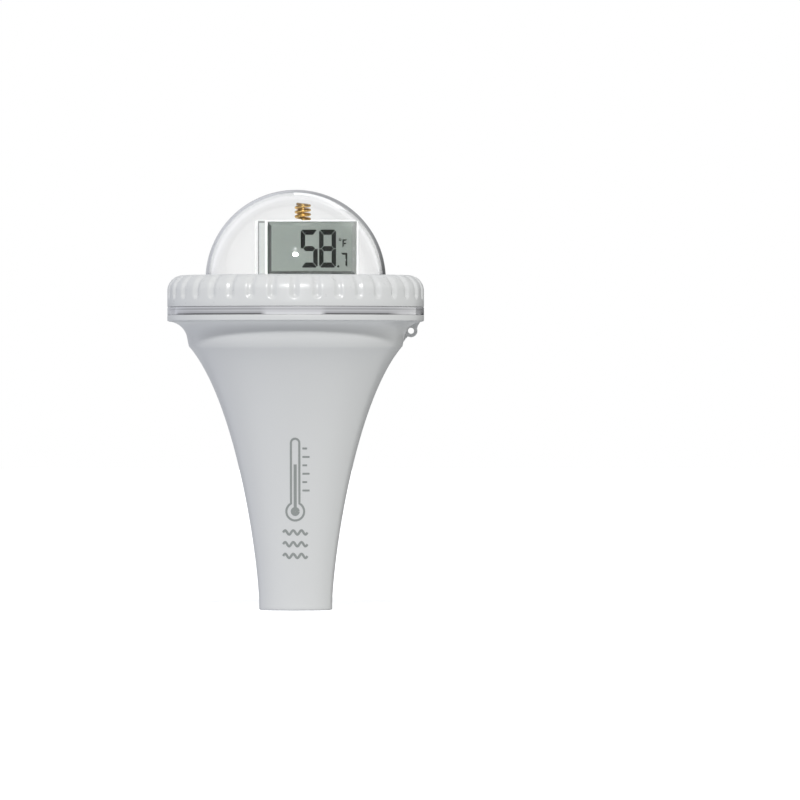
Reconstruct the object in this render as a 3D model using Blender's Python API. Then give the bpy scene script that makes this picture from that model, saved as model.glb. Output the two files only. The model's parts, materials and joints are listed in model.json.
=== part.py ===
"""A floating pool thermometer: a trumpet-shaped float under a clear screw-on dome that holds the display.

Every size below is in millimetres and is turned into metres as the meshes are made. +Z is up along the
float's axis, the origin is the centre of its flat foot, -Y is the side that the display faces and +X is
the side of the lanyard eyelet.
"""

import math

import bmesh
import bpy
from mathutils import Vector

MM = 0.001
GAP = 0.3  # clearance between pieces that touch on the real object
TURNED_SIDES = 32
SMALL_SIDES = 16
HOLE_SIDES = 12
SHARP_ANGLE = math.radians(35)
OFF_PLANE_TURN = 7  # degrees
PAST = 1.5  # how far a cutter runs past the faces that it opens

# The float's outside, as radius and height
WALL = 2.0
FLARE_STEPS = 10
FOOT_RADIUS = 13.1
FOOT_EDGE = 0.6
FLOOR_TOP = 2.5
SHOULDER = (38.3, 94.6)
FLARE_HANDLES = ((12.95, 15.6), (20.9, 74.5))
NECK_RADIUS = 38.85
COVE_RADIUS = 7.0
COVE_START = 171.8  # the angle at which the cove leaves the neck, in degrees
COVE_CENTRE = (45.8, 96.4)
RIM_RADIUS = 46.0
RIM_LOW = 103.5
RIM_TOP = 105.65
SEAL_BORE = 36.45
BORE_LOW = 97.0
SEAT_BORE = 35.5
LEDGE_TOP = 93.4
LEDGE_BORE = 33.9
MOUTH_LEAD_IN = 0.6
INNER_WALL_HEIGHTS = (90.5, 85, 77, 66, 53, 38, 20)  # where the inner wall's outline has its points

# The screw thread between the float and its cover
LEAD = 3.0
THREAD_TURNS = 1.2
THREAD_START = 98.2
THREAD_ANGLE = math.radians(4)  # keeps the ridges' ends off the turned walls' own edges
RIDGE_ROOT = 1.3
RIDGE_CREST = 0.8
MALE_CREST = 35.5
FEMALE_CREST = 34.95
RIDGE_BURY = 0.5  # how far a ridge's root sits inside its wall

# The clear cover
FLANGE_LOW = RIM_TOP + GAP
FLANGE_TOP = 108.3
DOME_CENTRE = 118.3
DOME_RADIUS = 32.33
DOME_INNER = 31.0
DOME_STEPS = 8
SKIRT_RADIUS = 34.6
SKIRT_INNER = 32.7
SKIRT_LOW = 97.6
INNER_STEP = (104.2, 105.9)  # where the skirt's bore narrows to the dome's
GROOVE = (102.55, 105.2)
GROOVE_RADIUS = 33.95
O_RING_RADIUS = 35.2
O_RING_SECTION = 1.0

# The grip collar
COLLAR_LOW = FLANGE_TOP + GAP
COLLAR_TOP = 120.0
COLLAR_CORNER = 5.6
COLLAR_BORE = 32.7
COLLAR_WALL = 1.8
FLUTES = 36
FLUTE_DEPTH = 1.0
FLUTE_HALF_ANGLE = math.radians(1.8)
FLUTE_LOW = 111.0

# The lanyard eyelet
EYE_CENTRE = (41.35, 100.1)
EYE_HOLE = 1.08
EYE_RADIUS = 2.3
EYE_HALF_THICKNESS = 1.5
EYE_ROOT = 1.0  # how far the lug's plate reaches into the neck's wall

# The module's chassis and deck
CHASSIS_FLOOR = (LEDGE_TOP + GAP, 95.5)
CHASSIS_RADIUS = 35.2
TUBE_RADIUS = 29.0
TUBE_INNER = 27.8
TUBE_TOP = 115.3
DECK = (TUBE_TOP + GAP, 117.2)
DECK_RADIUS = 30.2
CHASSIS_SCREW_CIRCLE = 31.3
CHASSIS_SCREW_ANGLES = (30, 150, 270)
SCREW_BOSS = 2.5
SCREW_BOSS_LOW = 89.0
SCREW_BOSS_HIGH = LEDGE_TOP - 0.2
BOSS_HOLE_LOW = SCREW_BOSS_LOW + 0.6
DECK_SCREW_X = 25.8
POST_RADIUS = 2.4
POST_STEP_RADIUS = 3.8
POST_HOLE_LOW = 107.0
EAR_BOSS_RADIUS = 2.3
EAR_BOSS_LOW = 88.5
LEAD_HOLE_RADIUS = 1.9
RIBBON_SLOT_X = (7.6, 16.4)
MAIN_BOARD = (108.0, 109.6)
MAIN_BOARD_RADIUS = 22.6
RADIO_CAN = ((-16.0, -4.0), (-14.0, -3.0), 3.0)  # X limits, Y limits and top above the board
PROCESSOR = ((2.0, 11.0), (-13.0, -4.0), 1.9)
LEAD_CONNECTOR_HALF_WIDTH = 2.2
LEAD_CONNECTOR_LOW = 103.5

# Screws: every one has a pan head and a shank that is thinner than its hole by the gap
HEAD_RADIUS = 1.9
HEAD_HEIGHT = 1.2
SHANK_RADIUS = 0.85
PILOT_RADIUS = SHANK_RADIUS + GAP

# The display head
HOUSING_X = (-14.6, 22.3)
HOUSING_Y = (-2.6, 2.6)
HOUSING_Z = (DECK[1] + GAP, 139.65)
HOUSING_CORNER = 0.45
TAB_X = 28.3
TAB_HALF_DEPTH = 2.4
TAB_TOP = HOUSING_Z[0] + 1.2
LCD_X = (-9.85, 21.6)
LCD_Z = (120.0, 139.0)
LCD_Y = (-3.8, -1.6)
LCD_BEVEL = 1.1
WINDOW_MARGIN = 0.25
RAIL_X = (-13.25, -11.05)
RAIL_Y = (-3.0, -1.9)
RAIL_Z = (HOUSING_Z[0] + 2.0, 139.4)
REFLECTOR_Y = (-1.3, -0.7)
REFLECTOR_INSET = 0.4
ELASTOMER = ((-8.0, 20.0), (-0.4, 2.6), (120.7, 122.7))
BOARD_X = (-10.4, 18.3)
BOARD_Y = (2.9, 4.1)
BOARD_Z = (118.6, 137.6)
BACK_X = (-14.3, 19.8)
BACK_Y = (2.9, 9.5)
BACK_Z = (DECK[1] + GAP, 138.8)
BACK_WALL = 1.2
BACK_ROUNDING = 0.8
AERIAL_HOLE_RADIUS = 3.4
BACK_SCREW_X = -12.5
BACK_SCREW_HEIGHTS = (123.0, 135.5)
BUTTON_Z = 128.5
UNIT_BUTTON_X = -5.5
SYNC_BUTTON_X = 11.0
BUTTON_RADIUS = 2.4
BUTTON_FACE = 10.4
BUTTON_FLANGE = (7.2, 8.0)
BUTTON_FLANGE_RADIUS = 3.0
TACT_HALF_WIDTH = 2.5
TACT_CAN = (4.4, 5.7)
TACT_PLUNGER_RADIUS = 1.2
TACT_PLUNGER_FACE = 6.3
SWITCH_CENTRE = (2.5, 121.8)
SWITCH_SLOT = (7.8, 3.0)
SWITCH_BASE = ((8.6, 3.8), (4.4, 6.6))  # width and height, then the Y limits
SLIDER_PLATE = ((6.4, 3.8), (6.9, 8.0))
SLIDER_NUB = ((3.0, 2.2), (7.5, 10.3))
ANTENNA_CENTRE = (2.5, 5.6)
ANTENNA_RADIUS = 2.42
ANTENNA_WIRE = 0.5
ANTENNA_PITCH = 1.63
ANTENNA_TURNS = 3.65
ANTENNA_LOW = 139.95

# The cells and their holder
CELL_X = 7.5
CELL_RADIUS = 7.0
CELL_LENGTH = 50.5
NUB_HEIGHT = 1.0
NUB_RADIUS = 2.7
LEFT_CELL_LOW = 51.2
RIGHT_CELL_LOW = 49.2
HOLDER_INNER = 7.4
HOLDER_WALL = 1.2
HOLDER_Z = (46.7, 102.4)
HOLDER_FLOOR = 1.5
HOLDER_LIP = 1.2
HOLDER_FLANGE = (CHASSIS_FLOOR[1] + GAP, 97.4)
EAR_Y = 12.5
EAR_RADIUS = 2.9
DOOR_Z = (52.4, 89.6)
DOOR_HALF_WIDTH = 12.0
DOOR_BACK = -4.5
END_CAP_Z = (102.7, 104.5)

# The tail: probe, ballast and sensor lead
PROBE_RADIUS = 4.0
PROBE_BORE = 3.5
PROBE_Z = (1.0, 14.0)
PROBE_FLANGE = (3.9, 4.7)
PROBE_FLANGE_RADIUS = 6.2
BALLAST_Z = (5.0, 17.0)
BALLAST_RADII = (10.4, 11.6)
BALLAST_BORE = 4.6
RETAINER_Z = (BALLAST_Z[1] + GAP, 20.5)
RETAINER_RADIUS = 11.9
RETAINER_BORE = 2.2
LEAD_RADIUS = 0.9
LEAD_PLACE = (6.2, 12.4)
LEAD_ROUTE = ((0, 0, 6.6), (0, 0, 16.0), (0, 0, 27.0), (2.5, 5.0, 38.0), (5.7, 11.4, 50.0),
              (*LEAD_PLACE, 64.0), (*LEAD_PLACE, 80.0), (*LEAD_PLACE, 94.0), (*LEAD_PLACE, 102.9))
LEAD_POINT_STEP = 4.2


# --- Materials -------------------------------------------------------------------------------------------

COLOURS = {
    "white_shell": ((0.70, 0.71, 0.71), 0.38, 0.0),
    "white_collar": ((0.76, 0.77, 0.77), 0.25, 0.0),
    "clear_plastic": ((0.93, 0.95, 0.96), 0.05, 0.0),
    "seal_rubber": ((0.03, 0.03, 0.03), 0.70, 0.0),
    "module_plastic": ((0.83, 0.83, 0.82), 0.45, 0.0),
    "rail_plastic": ((0.62, 0.63, 0.61), 0.40, 0.0),
    "display_glass": ((0.32, 0.36, 0.33), 0.12, 0.0),
    "reflector": ((0.60, 0.62, 0.58), 0.30, 0.0),
    "circuit_board": ((0.02, 0.16, 0.07), 0.45, 0.0),
    "black_component": ((0.02, 0.02, 0.02), 0.50, 0.0),
    "gold_wire": ((0.80, 0.55, 0.18), 0.25, 1.0),
    "steel": ((0.60, 0.60, 0.61), 0.30, 1.0),
    "ballast_iron": ((0.20, 0.20, 0.21), 0.60, 1.0),
    "button_grey": ((0.28, 0.30, 0.32), 0.50, 0.0),
    "cell_jacket": ((0.10, 0.13, 0.16), 0.35, 0.0),
    "lead_jacket": ((0.10, 0.10, 0.11), 0.55, 0.0),
}


def material_for(name):
    """The Principled material of one slot, made the first time it is asked for."""
    found = bpy.data.materials.get(name)
    if found:
        return found
    colour, roughness, metallic = COLOURS[name]
    made = bpy.data.materials.new(name)
    made.use_nodes = True
    shader = made.node_tree.nodes["Principled BSDF"]
    shader.inputs["Base Color"].default_value = (*colour, 1.0)
    shader.inputs["Roughness"].default_value = roughness
    shader.inputs["Metallic"].default_value = metallic
    if name == "clear_plastic":
        shader.inputs["Transmission Weight"].default_value = 1.0
    return made


# --- Shape tools -----------------------------------------------------------------------------------------


def arc(centre, radius, start_degrees, end_degrees, steps):
    """Points along an arc of a circle, as (radius or x, height) pairs, ends included."""
    points = []
    for step in range(steps + 1):
        angle = math.radians(start_degrees + (end_degrees - start_degrees) * step / steps)
        points.append((centre[0] + radius * math.cos(angle), centre[1] + radius * math.sin(angle)))
    return points


def flare_point(t):
    """The point and the unit tangent at t on the cubic curve of the float's flared side."""
    ends = (Vector((FOOT_RADIUS, FOOT_EDGE)), *map(Vector, FLARE_HANDLES), Vector(SHOULDER))
    weights = ((1 - t) ** 3, 3 * (1 - t) ** 2 * t, 3 * (1 - t) * t**2, t**3)
    point = sum((end * weight for end, weight in zip(ends, weights)), Vector((0, 0)))
    tangent = Vector((0, 0))
    slope_weights = ((1 - t) ** 2, 2 * (1 - t) * t, t**2)
    for start, end, weight in zip(ends, ends[1:], slope_weights):
        tangent += (end - start) * weight
    return point, tangent.normalized()


def flare_radius_inside(height):
    """The inner wall's radius at a height, read along the offset of the flared side."""
    low, high = 0.0, 1.0
    for _ in range(40):
        middle = (low + high) / 2
        point, tangent = flare_point(middle)
        if point.y + WALL * tangent.x < height:
            low = middle
        else:
            high = middle
    point, tangent = flare_point(low)
    return point.x - WALL * tangent.y


def finish_mesh(name, mesh_data, material, smooth):
    mesh = bpy.data.meshes.new(name)
    bmesh.ops.recalc_face_normals(mesh_data, faces=mesh_data.faces)
    mesh_data.to_mesh(mesh)
    mesh_data.free()
    obj = bpy.data.objects.new(name, mesh)
    bpy.context.scene.collection.objects.link(obj)
    mesh.materials.append(material_for(material))
    if smooth:
        mesh.shade_smooth()
        mesh.set_sharp_from_angle(angle=SHARP_ANGLE)
    return obj


def turned(name, profile, material, sides=TURNED_SIDES, radius_at=None):
    """A body turned round Z from a closed profile of (radius, height) points.

    radius_at(radius, height, angle) may reshape each ring, as the collar's flutes do.
    """
    mesh_data = bmesh.new()
    rings = []
    for radius, height in profile:
        if radius < 1e-6:
            rings.append([mesh_data.verts.new((0, 0, height * MM))])
            continue
        ring = []
        for side in range(sides):
            angle = 2 * math.pi * side / sides
            there = radius_at(radius, height, angle) if radius_at else radius
            spot = Vector((there * math.cos(angle), there * math.sin(angle), height))
            ring.append(mesh_data.verts.new(spot * MM))
        rings.append(ring)
    for ring, following in zip(rings, rings[1:] + rings[:1]):
        for side in range(sides):
            corners = [ring[side % len(ring)], ring[(side + 1) % sides % len(ring)]]
            corners += [following[(side + 1) % sides % len(following)], following[side % len(following)]]
            corners = list(dict.fromkeys(corners))
            if len(corners) > 2:
                mesh_data.faces.new(corners)
    return finish_mesh(name, mesh_data, material, smooth=True)


def prism(name, outline, low, high, material, along="Z", smooth=False):
    """A flat outline pushed from low to high along an axis.

    The outline's two numbers are X and Y for a push along Z, and X and Z for a push along Y.
    """
    def place(pair, depth):
        if along == "Z":
            return (pair[0] * MM, pair[1] * MM, depth * MM)
        return (pair[0] * MM, depth * MM, pair[1] * MM)

    mesh_data = bmesh.new()
    bottom = [mesh_data.verts.new(place(pair, low)) for pair in outline]
    top = [mesh_data.verts.new(place(pair, high)) for pair in outline]
    mesh_data.faces.new(bottom)
    mesh_data.faces.new(top)
    for index in range(len(outline)):
        after = (index + 1) % len(outline)
        mesh_data.faces.new((bottom[index], bottom[after], top[after], top[index]))
    return finish_mesh(name, mesh_data, material, smooth)


def block(name, x, y, z, material, bevel=0.0):
    """A box between three pairs of limits, with its edges rounded by a bevel."""
    obj = prism(name, ((x[0], y[0]), (x[1], y[0]), (x[1], y[1]), (x[0], y[1])), z[0], z[1], material)
    if bevel:
        rounding = obj.modifiers.new("edge_rounding", "BEVEL")
        rounding.width = bevel * MM
        rounding.segments = 1
    return obj


def circle(centre, radius, sides=SMALL_SIDES):
    """A circle's outline, turned so that none of its corners lies on the middle planes of what it cuts."""
    return arc(centre, radius, OFF_PLANE_TURN, OFF_PLANE_TURN + 360 * (sides - 1) / sides, sides - 1)


def stadium(radius):
    """The outline round both cells: two half circles about the cells' axes, joined by straight sides."""
    return arc((CELL_X, 0), radius, -90, 90, 9) + arc((-CELL_X, 0), radius, 90, 270, 9)


def tube(name, points, radius, material, bevel_resolution=2):
    """A round wire or lead along a list of points, with closed ends."""
    curve = bpy.data.curves.new(name, "CURVE")
    curve.dimensions = "3D"
    curve.bevel_depth = radius * MM
    curve.bevel_resolution = bevel_resolution
    curve.use_fill_caps = True
    spline = curve.splines.new("POLY")
    spline.points.add(len(points) - 1)
    for target, point in zip(spline.points, points):
        target.co = (point[0] * MM, point[1] * MM, point[2] * MM, 1.0)
    spline.use_smooth = True
    obj = bpy.data.objects.new(name, curve)
    bpy.context.scene.collection.objects.link(obj)
    curve.materials.append(material_for(material))
    return obj


def combine(obj, other, operation):
    """Joins another shape to an object, or cuts it away, and hides the other shape."""
    boolean = obj.modifiers.new(other.name, "BOOLEAN")
    boolean.operation = operation
    boolean.object = other
    boolean.solver = "EXACT"
    other.hide_render = True
    other.display_type = "WIRE"


def cut(obj, *cutters):
    for cutter in cutters:
        combine(obj, cutter, "DIFFERENCE")


def join(obj, *others):
    for other in others:
        combine(obj, other, "UNION")


def drill(obj, name, centre, low, high, radius=PILOT_RADIUS, sides=HOLE_SIDES, along="Z"):
    """Cuts a round hole from low to high along an axis."""
    material = obj.data.materials[0].name
    cut(obj, prism(f"{obj.name}_{name}", circle(centre, radius, sides), low, high, material, along))


def slot_cut(obj, name, x, y, z):
    """Cuts a square-cornered opening between three pairs of limits."""
    cut(obj, block(f"{obj.name}_{name}", x, y, z, obj.data.materials[0].name))


def post(name, centre, radius, low, high, material, along="Z"):
    """A round post for a screw, a plunger or an ear."""
    return prism(name, circle(centre, radius, HOLE_SIDES), low, high, material, along)


def about(centre, width):
    """The two limits of a width about its middle."""
    return centre - width / 2, centre + width / 2


def helical_ridge(name, wall_radius, crest_radius, start_angle, material):
    """One start of thread: a trapezoid swept up a right-hand helix, with its root inside the wall."""
    outward = 1 if crest_radius > wall_radius else -1
    root = wall_radius - outward * RIDGE_BURY
    section = ((root, -RIDGE_ROOT / 2), (crest_radius, -RIDGE_CREST / 2), (crest_radius, RIDGE_CREST / 2),
               (root, RIDGE_ROOT / 2))
    mesh_data = bmesh.new()
    steps = round(TURNED_SIDES * THREAD_TURNS)
    stations = []
    for step in range(steps + 1):
        turn = 2 * math.pi * step / TURNED_SIDES
        angle = start_angle + turn
        height = THREAD_START + LEAD * turn / (2 * math.pi)
        station = []
        for radius, offset in section:
            spot = (radius * math.cos(angle) * MM, radius * math.sin(angle) * MM, (height + offset) * MM)
            station.append(mesh_data.verts.new(spot))
        stations.append(station)
    mesh_data.faces.new(stations[0])
    mesh_data.faces.new(stations[-1])
    for station, after in zip(stations, stations[1:]):
        for corner in range(4):
            following = (corner + 1) % 4
            mesh_data.faces.new((station[corner], station[following], after[following], after[corner]))
    return finish_mesh(name, mesh_data, material, smooth=False)


def smooth_route(corners, step):
    """Points about one step apart on a smooth curve through a route's own points."""
    knots = [Vector(corner) for corner in corners]
    padded = [2 * knots[0] - knots[1], *knots, 2 * knots[-1] - knots[-2]]
    points = [knots[0]]
    for before, start, end, after in zip(padded, padded[1:], padded[2:], padded[3:]):
        pieces = max(1, round((end - start).length / step))
        for piece in range(1, pieces + 1):
            t = piece / pieces
            bend = (2 * before - 5 * start + 4 * end - after) * t**2
            twist = (3 * start - before - 3 * end + after) * t**3
            points.append((2 * start + (end - before) * t + bend + twist) / 2)
    return points


def screw(name, x, y, seat, length, direction="Z"):
    """A pan-head screw whose head rests just off the seat, with its shank running down or forward from it."""
    head_low = seat + GAP
    head_high = head_low + HEAD_HEIGHT
    profile = [(0, head_high), (HEAD_RADIUS * 0.75, head_high), (HEAD_RADIUS, head_high - 0.4),
               (HEAD_RADIUS, head_low), (SHANK_RADIUS, head_low), (SHANK_RADIUS, seat - length),
               (0, seat - length)]
    obj = turned(name, profile, "steel", sides=12)
    if direction == "Z":
        obj.location = (x * MM, y * MM, 0)
    else:
        obj.rotation_euler = (-math.pi / 2, 0, 0)
        obj.location = (x * MM, 0, y * MM)
    return obj


def spot_on_circle(radius, degrees):
    angle = math.radians(degrees)
    return radius * math.cos(angle), radius * math.sin(angle)


# --- The float and its cover -----------------------------------------------------------------------------


def make_float_body():
    """The hollow float: foot, flared side, neck, cove, rim, threaded mouth and the ledge for the module."""
    outside = [(PROBE_RADIUS + GAP, 0), (FOOT_RADIUS - FOOT_EDGE, 0)]
    outside += [tuple(flare_point(step / FLARE_STEPS)[0]) for step in range(FLARE_STEPS + 1)]
    outside += arc(COVE_CENTRE, COVE_RADIUS, COVE_START, 90, 4)
    outside += [(RIM_RADIUS, RIM_LOW), (RIM_RADIUS, RIM_TOP)]
    inside = [(SEAL_BORE + MOUTH_LEAD_IN, RIM_TOP), (SEAL_BORE, RIM_TOP - MOUTH_LEAD_IN),
              (SEAL_BORE, BORE_LOW), (SEAT_BORE, BORE_LOW), (SEAT_BORE, LEDGE_TOP), (LEDGE_BORE, LEDGE_TOP)]
    inside += [(flare_radius_inside(height), height) for height in INNER_WALL_HEIGHTS]
    inside += [(flare_radius_inside(FLOOR_TOP + 1), FLOOR_TOP), (PROBE_RADIUS + GAP, FLOOR_TOP)]
    body = turned("float_body", outside + inside, "white_shell")
    join(body, helical_ridge("float_thread", SEAL_BORE, FEMALE_CREST, THREAD_ANGLE + math.pi, "white_shell"))
    join(body, make_eyelet_lug())
    spots = [spot_on_circle(CHASSIS_SCREW_CIRCLE, degrees) for degrees in CHASSIS_SCREW_ANGLES]
    for number, spot in enumerate(spots, start=1):
        join(body, post(f"boss_{number}", spot, SCREW_BOSS, SCREW_BOSS_LOW, SCREW_BOSS_HIGH, "white_shell"))
    for number, spot in enumerate(spots, start=1):
        drill(body, f"boss_hole_{number}", spot, BOSS_HOLE_LOW, LEDGE_TOP + PAST)
    drill(body, "eye_hole", EYE_CENTRE, -EYE_HALF_THICKNESS - PAST, EYE_HALF_THICKNESS + PAST, EYE_HOLE,
          SMALL_SIDES, along="Y")
    return body


def make_eyelet_lug():
    """The lanyard lug: a plate in the cove that blends up into the rim and down into the neck."""
    inner = NECK_RADIUS - EYE_ROOT
    buried_top = RIM_LOW + 0.6
    outline = [(inner, 96.8), (39.2, 97.2)] + arc(EYE_CENTRE, EYE_RADIUS, -115, 10, 6)
    outline += [(43.9, 101.6), (44.5, 102.7), (44.9, buried_top), (inner, buried_top)]
    return prism("eyelet_lug", outline, -EYE_HALF_THICKNESS, EYE_HALF_THICKNESS, "white_shell", along="Y")


def make_clear_dome_cover():
    """Dome, flange and threaded skirt, moulded in one clear piece."""
    profile = arc((0, DOME_CENTRE), DOME_RADIUS, 90, 0, DOME_STEPS)
    profile[0] = (0, DOME_CENTRE + DOME_RADIUS)
    profile += [(DOME_RADIUS, FLANGE_TOP), (RIM_RADIUS, FLANGE_TOP), (RIM_RADIUS, FLANGE_LOW)]
    profile += [(SKIRT_RADIUS, FLANGE_LOW), (SKIRT_RADIUS, GROOVE[1]), (GROOVE_RADIUS, GROOVE[1])]
    profile += [(GROOVE_RADIUS, GROOVE[0]), (SKIRT_RADIUS, GROOVE[0]), (SKIRT_RADIUS, SKIRT_LOW)]
    profile += [(SKIRT_INNER, SKIRT_LOW), (SKIRT_INNER, INNER_STEP[0]), (DOME_INNER, INNER_STEP[1])]
    # The hollow's flat facets touch the true inner sphere from outside, so that nothing inside meets them
    hollow = DOME_INNER / math.cos(math.pi / TURNED_SIDES) / math.cos(math.pi / 4 / DOME_STEPS)
    inner_dome = arc((0, DOME_CENTRE), hollow, 0, 90, DOME_STEPS)
    inner_dome[-1] = (0, DOME_CENTRE + hollow)
    cover = turned("clear_dome_cover", profile + inner_dome, "clear_plastic")
    join(cover, helical_ridge("cover_thread", SKIRT_RADIUS, MALE_CREST, THREAD_ANGLE, "clear_plastic"))
    return cover


def collar_radius(radius, height, angle):
    """Sinks the flutes into the collar's outer side and over its rounded shoulder."""
    on_outside = radius > RIM_RADIUS - COLLAR_CORNER + 0.1
    if not on_outside or height < FLUTE_LOW + 0.1:
        return radius
    pitch = 2 * math.pi / FLUTES
    from_flute = abs((angle + pitch / 2) % pitch - pitch / 2)
    return radius - FLUTE_DEPTH if from_flute < FLUTE_HALF_ANGLE / 2 else radius


def make_grip_collar():
    """The fluted ring that the hand turns: hollow underneath, and closed on top."""
    corner = (RIM_RADIUS - COLLAR_CORNER, COLLAR_TOP - COLLAR_CORNER)
    profile = [(RIM_RADIUS, COLLAR_LOW), (RIM_RADIUS, FLUTE_LOW), (RIM_RADIUS, FLUTE_LOW + 1.2)]
    profile += arc(corner, COLLAR_CORNER, 0, 90, 3) + [(COLLAR_BORE, COLLAR_TOP)]
    hollow_top = COLLAR_TOP - COLLAR_WALL
    hollow_outer = RIM_RADIUS - FLUTE_DEPTH - COLLAR_WALL
    hollow_inner = COLLAR_BORE + COLLAR_WALL
    profile += [(COLLAR_BORE, COLLAR_LOW), (hollow_inner, COLLAR_LOW), (hollow_inner, hollow_top)]
    profile += [(corner[0] - 1.0, hollow_top), (hollow_outer, corner[1]), (hollow_outer, COLLAR_LOW)]
    return turned("grip_collar", profile, "white_collar", sides=3 * FLUTES, radius_at=collar_radius)


def make_ring(name, radius, section, height, material, sides=TURNED_SIDES):
    """A ring of round section, such as an O-ring."""
    return turned(name, arc((radius, height), section, 0, 300, 5), material, sides)


# --- The module under the dome ---------------------------------------------------------------------------


def make_module_chassis():
    """The tray that hangs in the float's mouth: a floor on the ledge, and a tube that holds the deck up."""
    profile = [(TUBE_INNER, TUBE_TOP), (TUBE_RADIUS, TUBE_TOP), (TUBE_RADIUS, CHASSIS_FLOOR[1]),
               (CHASSIS_RADIUS, CHASSIS_FLOOR[1]), (CHASSIS_RADIUS, CHASSIS_FLOOR[0]), (0, CHASSIS_FLOOR[0]),
               (0, CHASSIS_FLOOR[1]), (TUBE_INNER, CHASSIS_FLOOR[1])]
    chassis = turned("module_chassis", profile, "module_plastic")
    for side in (-1, 1):
        spot = (side * DECK_SCREW_X, 0)
        in_floor = sum(CHASSIS_FLOOR) / 2
        step = post(f"post_step_{side}", spot, POST_STEP_RADIUS, in_floor, MAIN_BOARD[0] - GAP, "module_plastic")
        pillar = post(f"post_{side}", spot, POST_RADIUS, in_floor, TUBE_TOP - 0.2, "module_plastic")
        ear_spot = (0, side * EAR_Y)
        ear_boss = post(f"ear_boss_{side}", ear_spot, EAR_BOSS_RADIUS, EAR_BOSS_LOW, in_floor, "module_plastic")
        join(chassis, step, pillar, ear_boss)
    for side in (-1, 1):
        drill(chassis, f"post_hole_{side}", (side * DECK_SCREW_X, 0), POST_HOLE_LOW, TUBE_TOP + PAST)
        drill(chassis, f"ear_hole_{side}", (0, side * EAR_Y), EAR_BOSS_LOW - PAST, CHASSIS_FLOOR[1] + PAST)
    floor_cut = (CHASSIS_FLOOR[0] - PAST, CHASSIS_FLOOR[1] + PAST)
    for degrees in CHASSIS_SCREW_ANGLES:
        drill(chassis, f"floor_hole_{degrees}", spot_on_circle(CHASSIS_SCREW_CIRCLE, degrees), *floor_cut)
    cell_hole = stadium(HOLDER_INNER + HOLDER_WALL + GAP)
    cut(chassis, prism("cell_hole", cell_hole, *floor_cut, "module_plastic"))
    drill(chassis, "lead_hole", LEAD_PLACE, *floor_cut, LEAD_HOLE_RADIUS)
    return chassis


def make_deck_plate():
    """The round white deck that closes the chassis under the display."""
    edge = 0.5
    profile = [(0, DECK[1]), (DECK_RADIUS - edge, DECK[1]), (DECK_RADIUS, DECK[1] - edge),
               (DECK_RADIUS, DECK[0]), (0, DECK[0])]
    deck = turned("deck_plate", profile, "module_plastic")
    deck_cut = (DECK[0] - PAST, DECK[1] + PAST)
    for side in (-1, 1):
        drill(deck, f"screw_hole_{side}", (side * DECK_SCREW_X, 0), *deck_cut)
    slot_cut(deck, "ribbon_slot", RIBBON_SLOT_X, (4.0, 5.6), deck_cut)
    return deck


def make_display_housing():
    """The white frame round the display, with a screw tab at each side and a groove for the rail."""
    top_corner = HOUSING_X[1] - HOUSING_CORNER, HOUSING_Z[1]
    side_corner = HOUSING_X[1], HOUSING_Z[1] - HOUSING_CORNER
    outline = [(HOUSING_X[0], HOUSING_Z[0]), (HOUSING_X[1], HOUSING_Z[0]), side_corner, top_corner,
               (HOUSING_X[0] + HOUSING_CORNER, HOUSING_Z[1]), (HOUSING_X[0], HOUSING_Z[1] - HOUSING_CORNER)]
    housing = prism("display_housing", outline, *HOUSING_Y, "module_plastic", along="Y")
    tab_y = (-TAB_HALF_DEPTH, TAB_HALF_DEPTH)
    join(housing, block("tabs", (-TAB_X, TAB_X), tab_y, (HOUSING_Z[0], TAB_TOP), "module_plastic"))
    window_x = (LCD_X[0] - WINDOW_MARGIN, LCD_X[1] + WINDOW_MARGIN)
    window_z = (LCD_Z[0] - WINDOW_MARGIN, LCD_Z[1] + WINDOW_MARGIN)
    slot_cut(housing, "window", window_x, (HOUSING_Y[0] - PAST, HOUSING_Y[1] + PAST), window_z)
    groove_x = (RAIL_X[0] - GAP, RAIL_X[1] + GAP)
    groove_y = (HOUSING_Y[0] - PAST, RAIL_Y[1] + GAP)
    slot_cut(housing, "rail_groove", groove_x, groove_y, (RAIL_Z[0] - GAP, HOUSING_Z[1] + PAST))
    for side in (-1, 1):
        drill(housing, f"tab_hole_{side}", (side * DECK_SCREW_X, 0), HOUSING_Z[0] - PAST, TAB_TOP + PAST)
    for height in BACK_SCREW_HEIGHTS:
        drill(housing, f"pilot_{height}", (BACK_SCREW_X, height), -1.0, HOUSING_Y[1] + PAST, along="Y")
    return housing


def make_lcd_glass():
    """The display's glass: a plate whose front edges slope back to its sides."""
    glass = block("lcd_glass", LCD_X, LCD_Y, LCD_Z, "display_glass")
    mesh_data = bmesh.new()
    mesh_data.from_mesh(glass.data)
    middle_x, middle_y, middle_z = (sum(limits) / 2 * MM for limits in (LCD_X, LCD_Y, LCD_Z))
    for vert in mesh_data.verts:
        if vert.co.y < middle_y:
            vert.co.x += LCD_BEVEL * MM * (1 if vert.co.x < middle_x else -1)
            vert.co.z += LCD_BEVEL * MM * (1 if vert.co.z < middle_z else -1)
    mesh_data.to_mesh(glass.data)
    mesh_data.free()
    return glass


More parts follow.
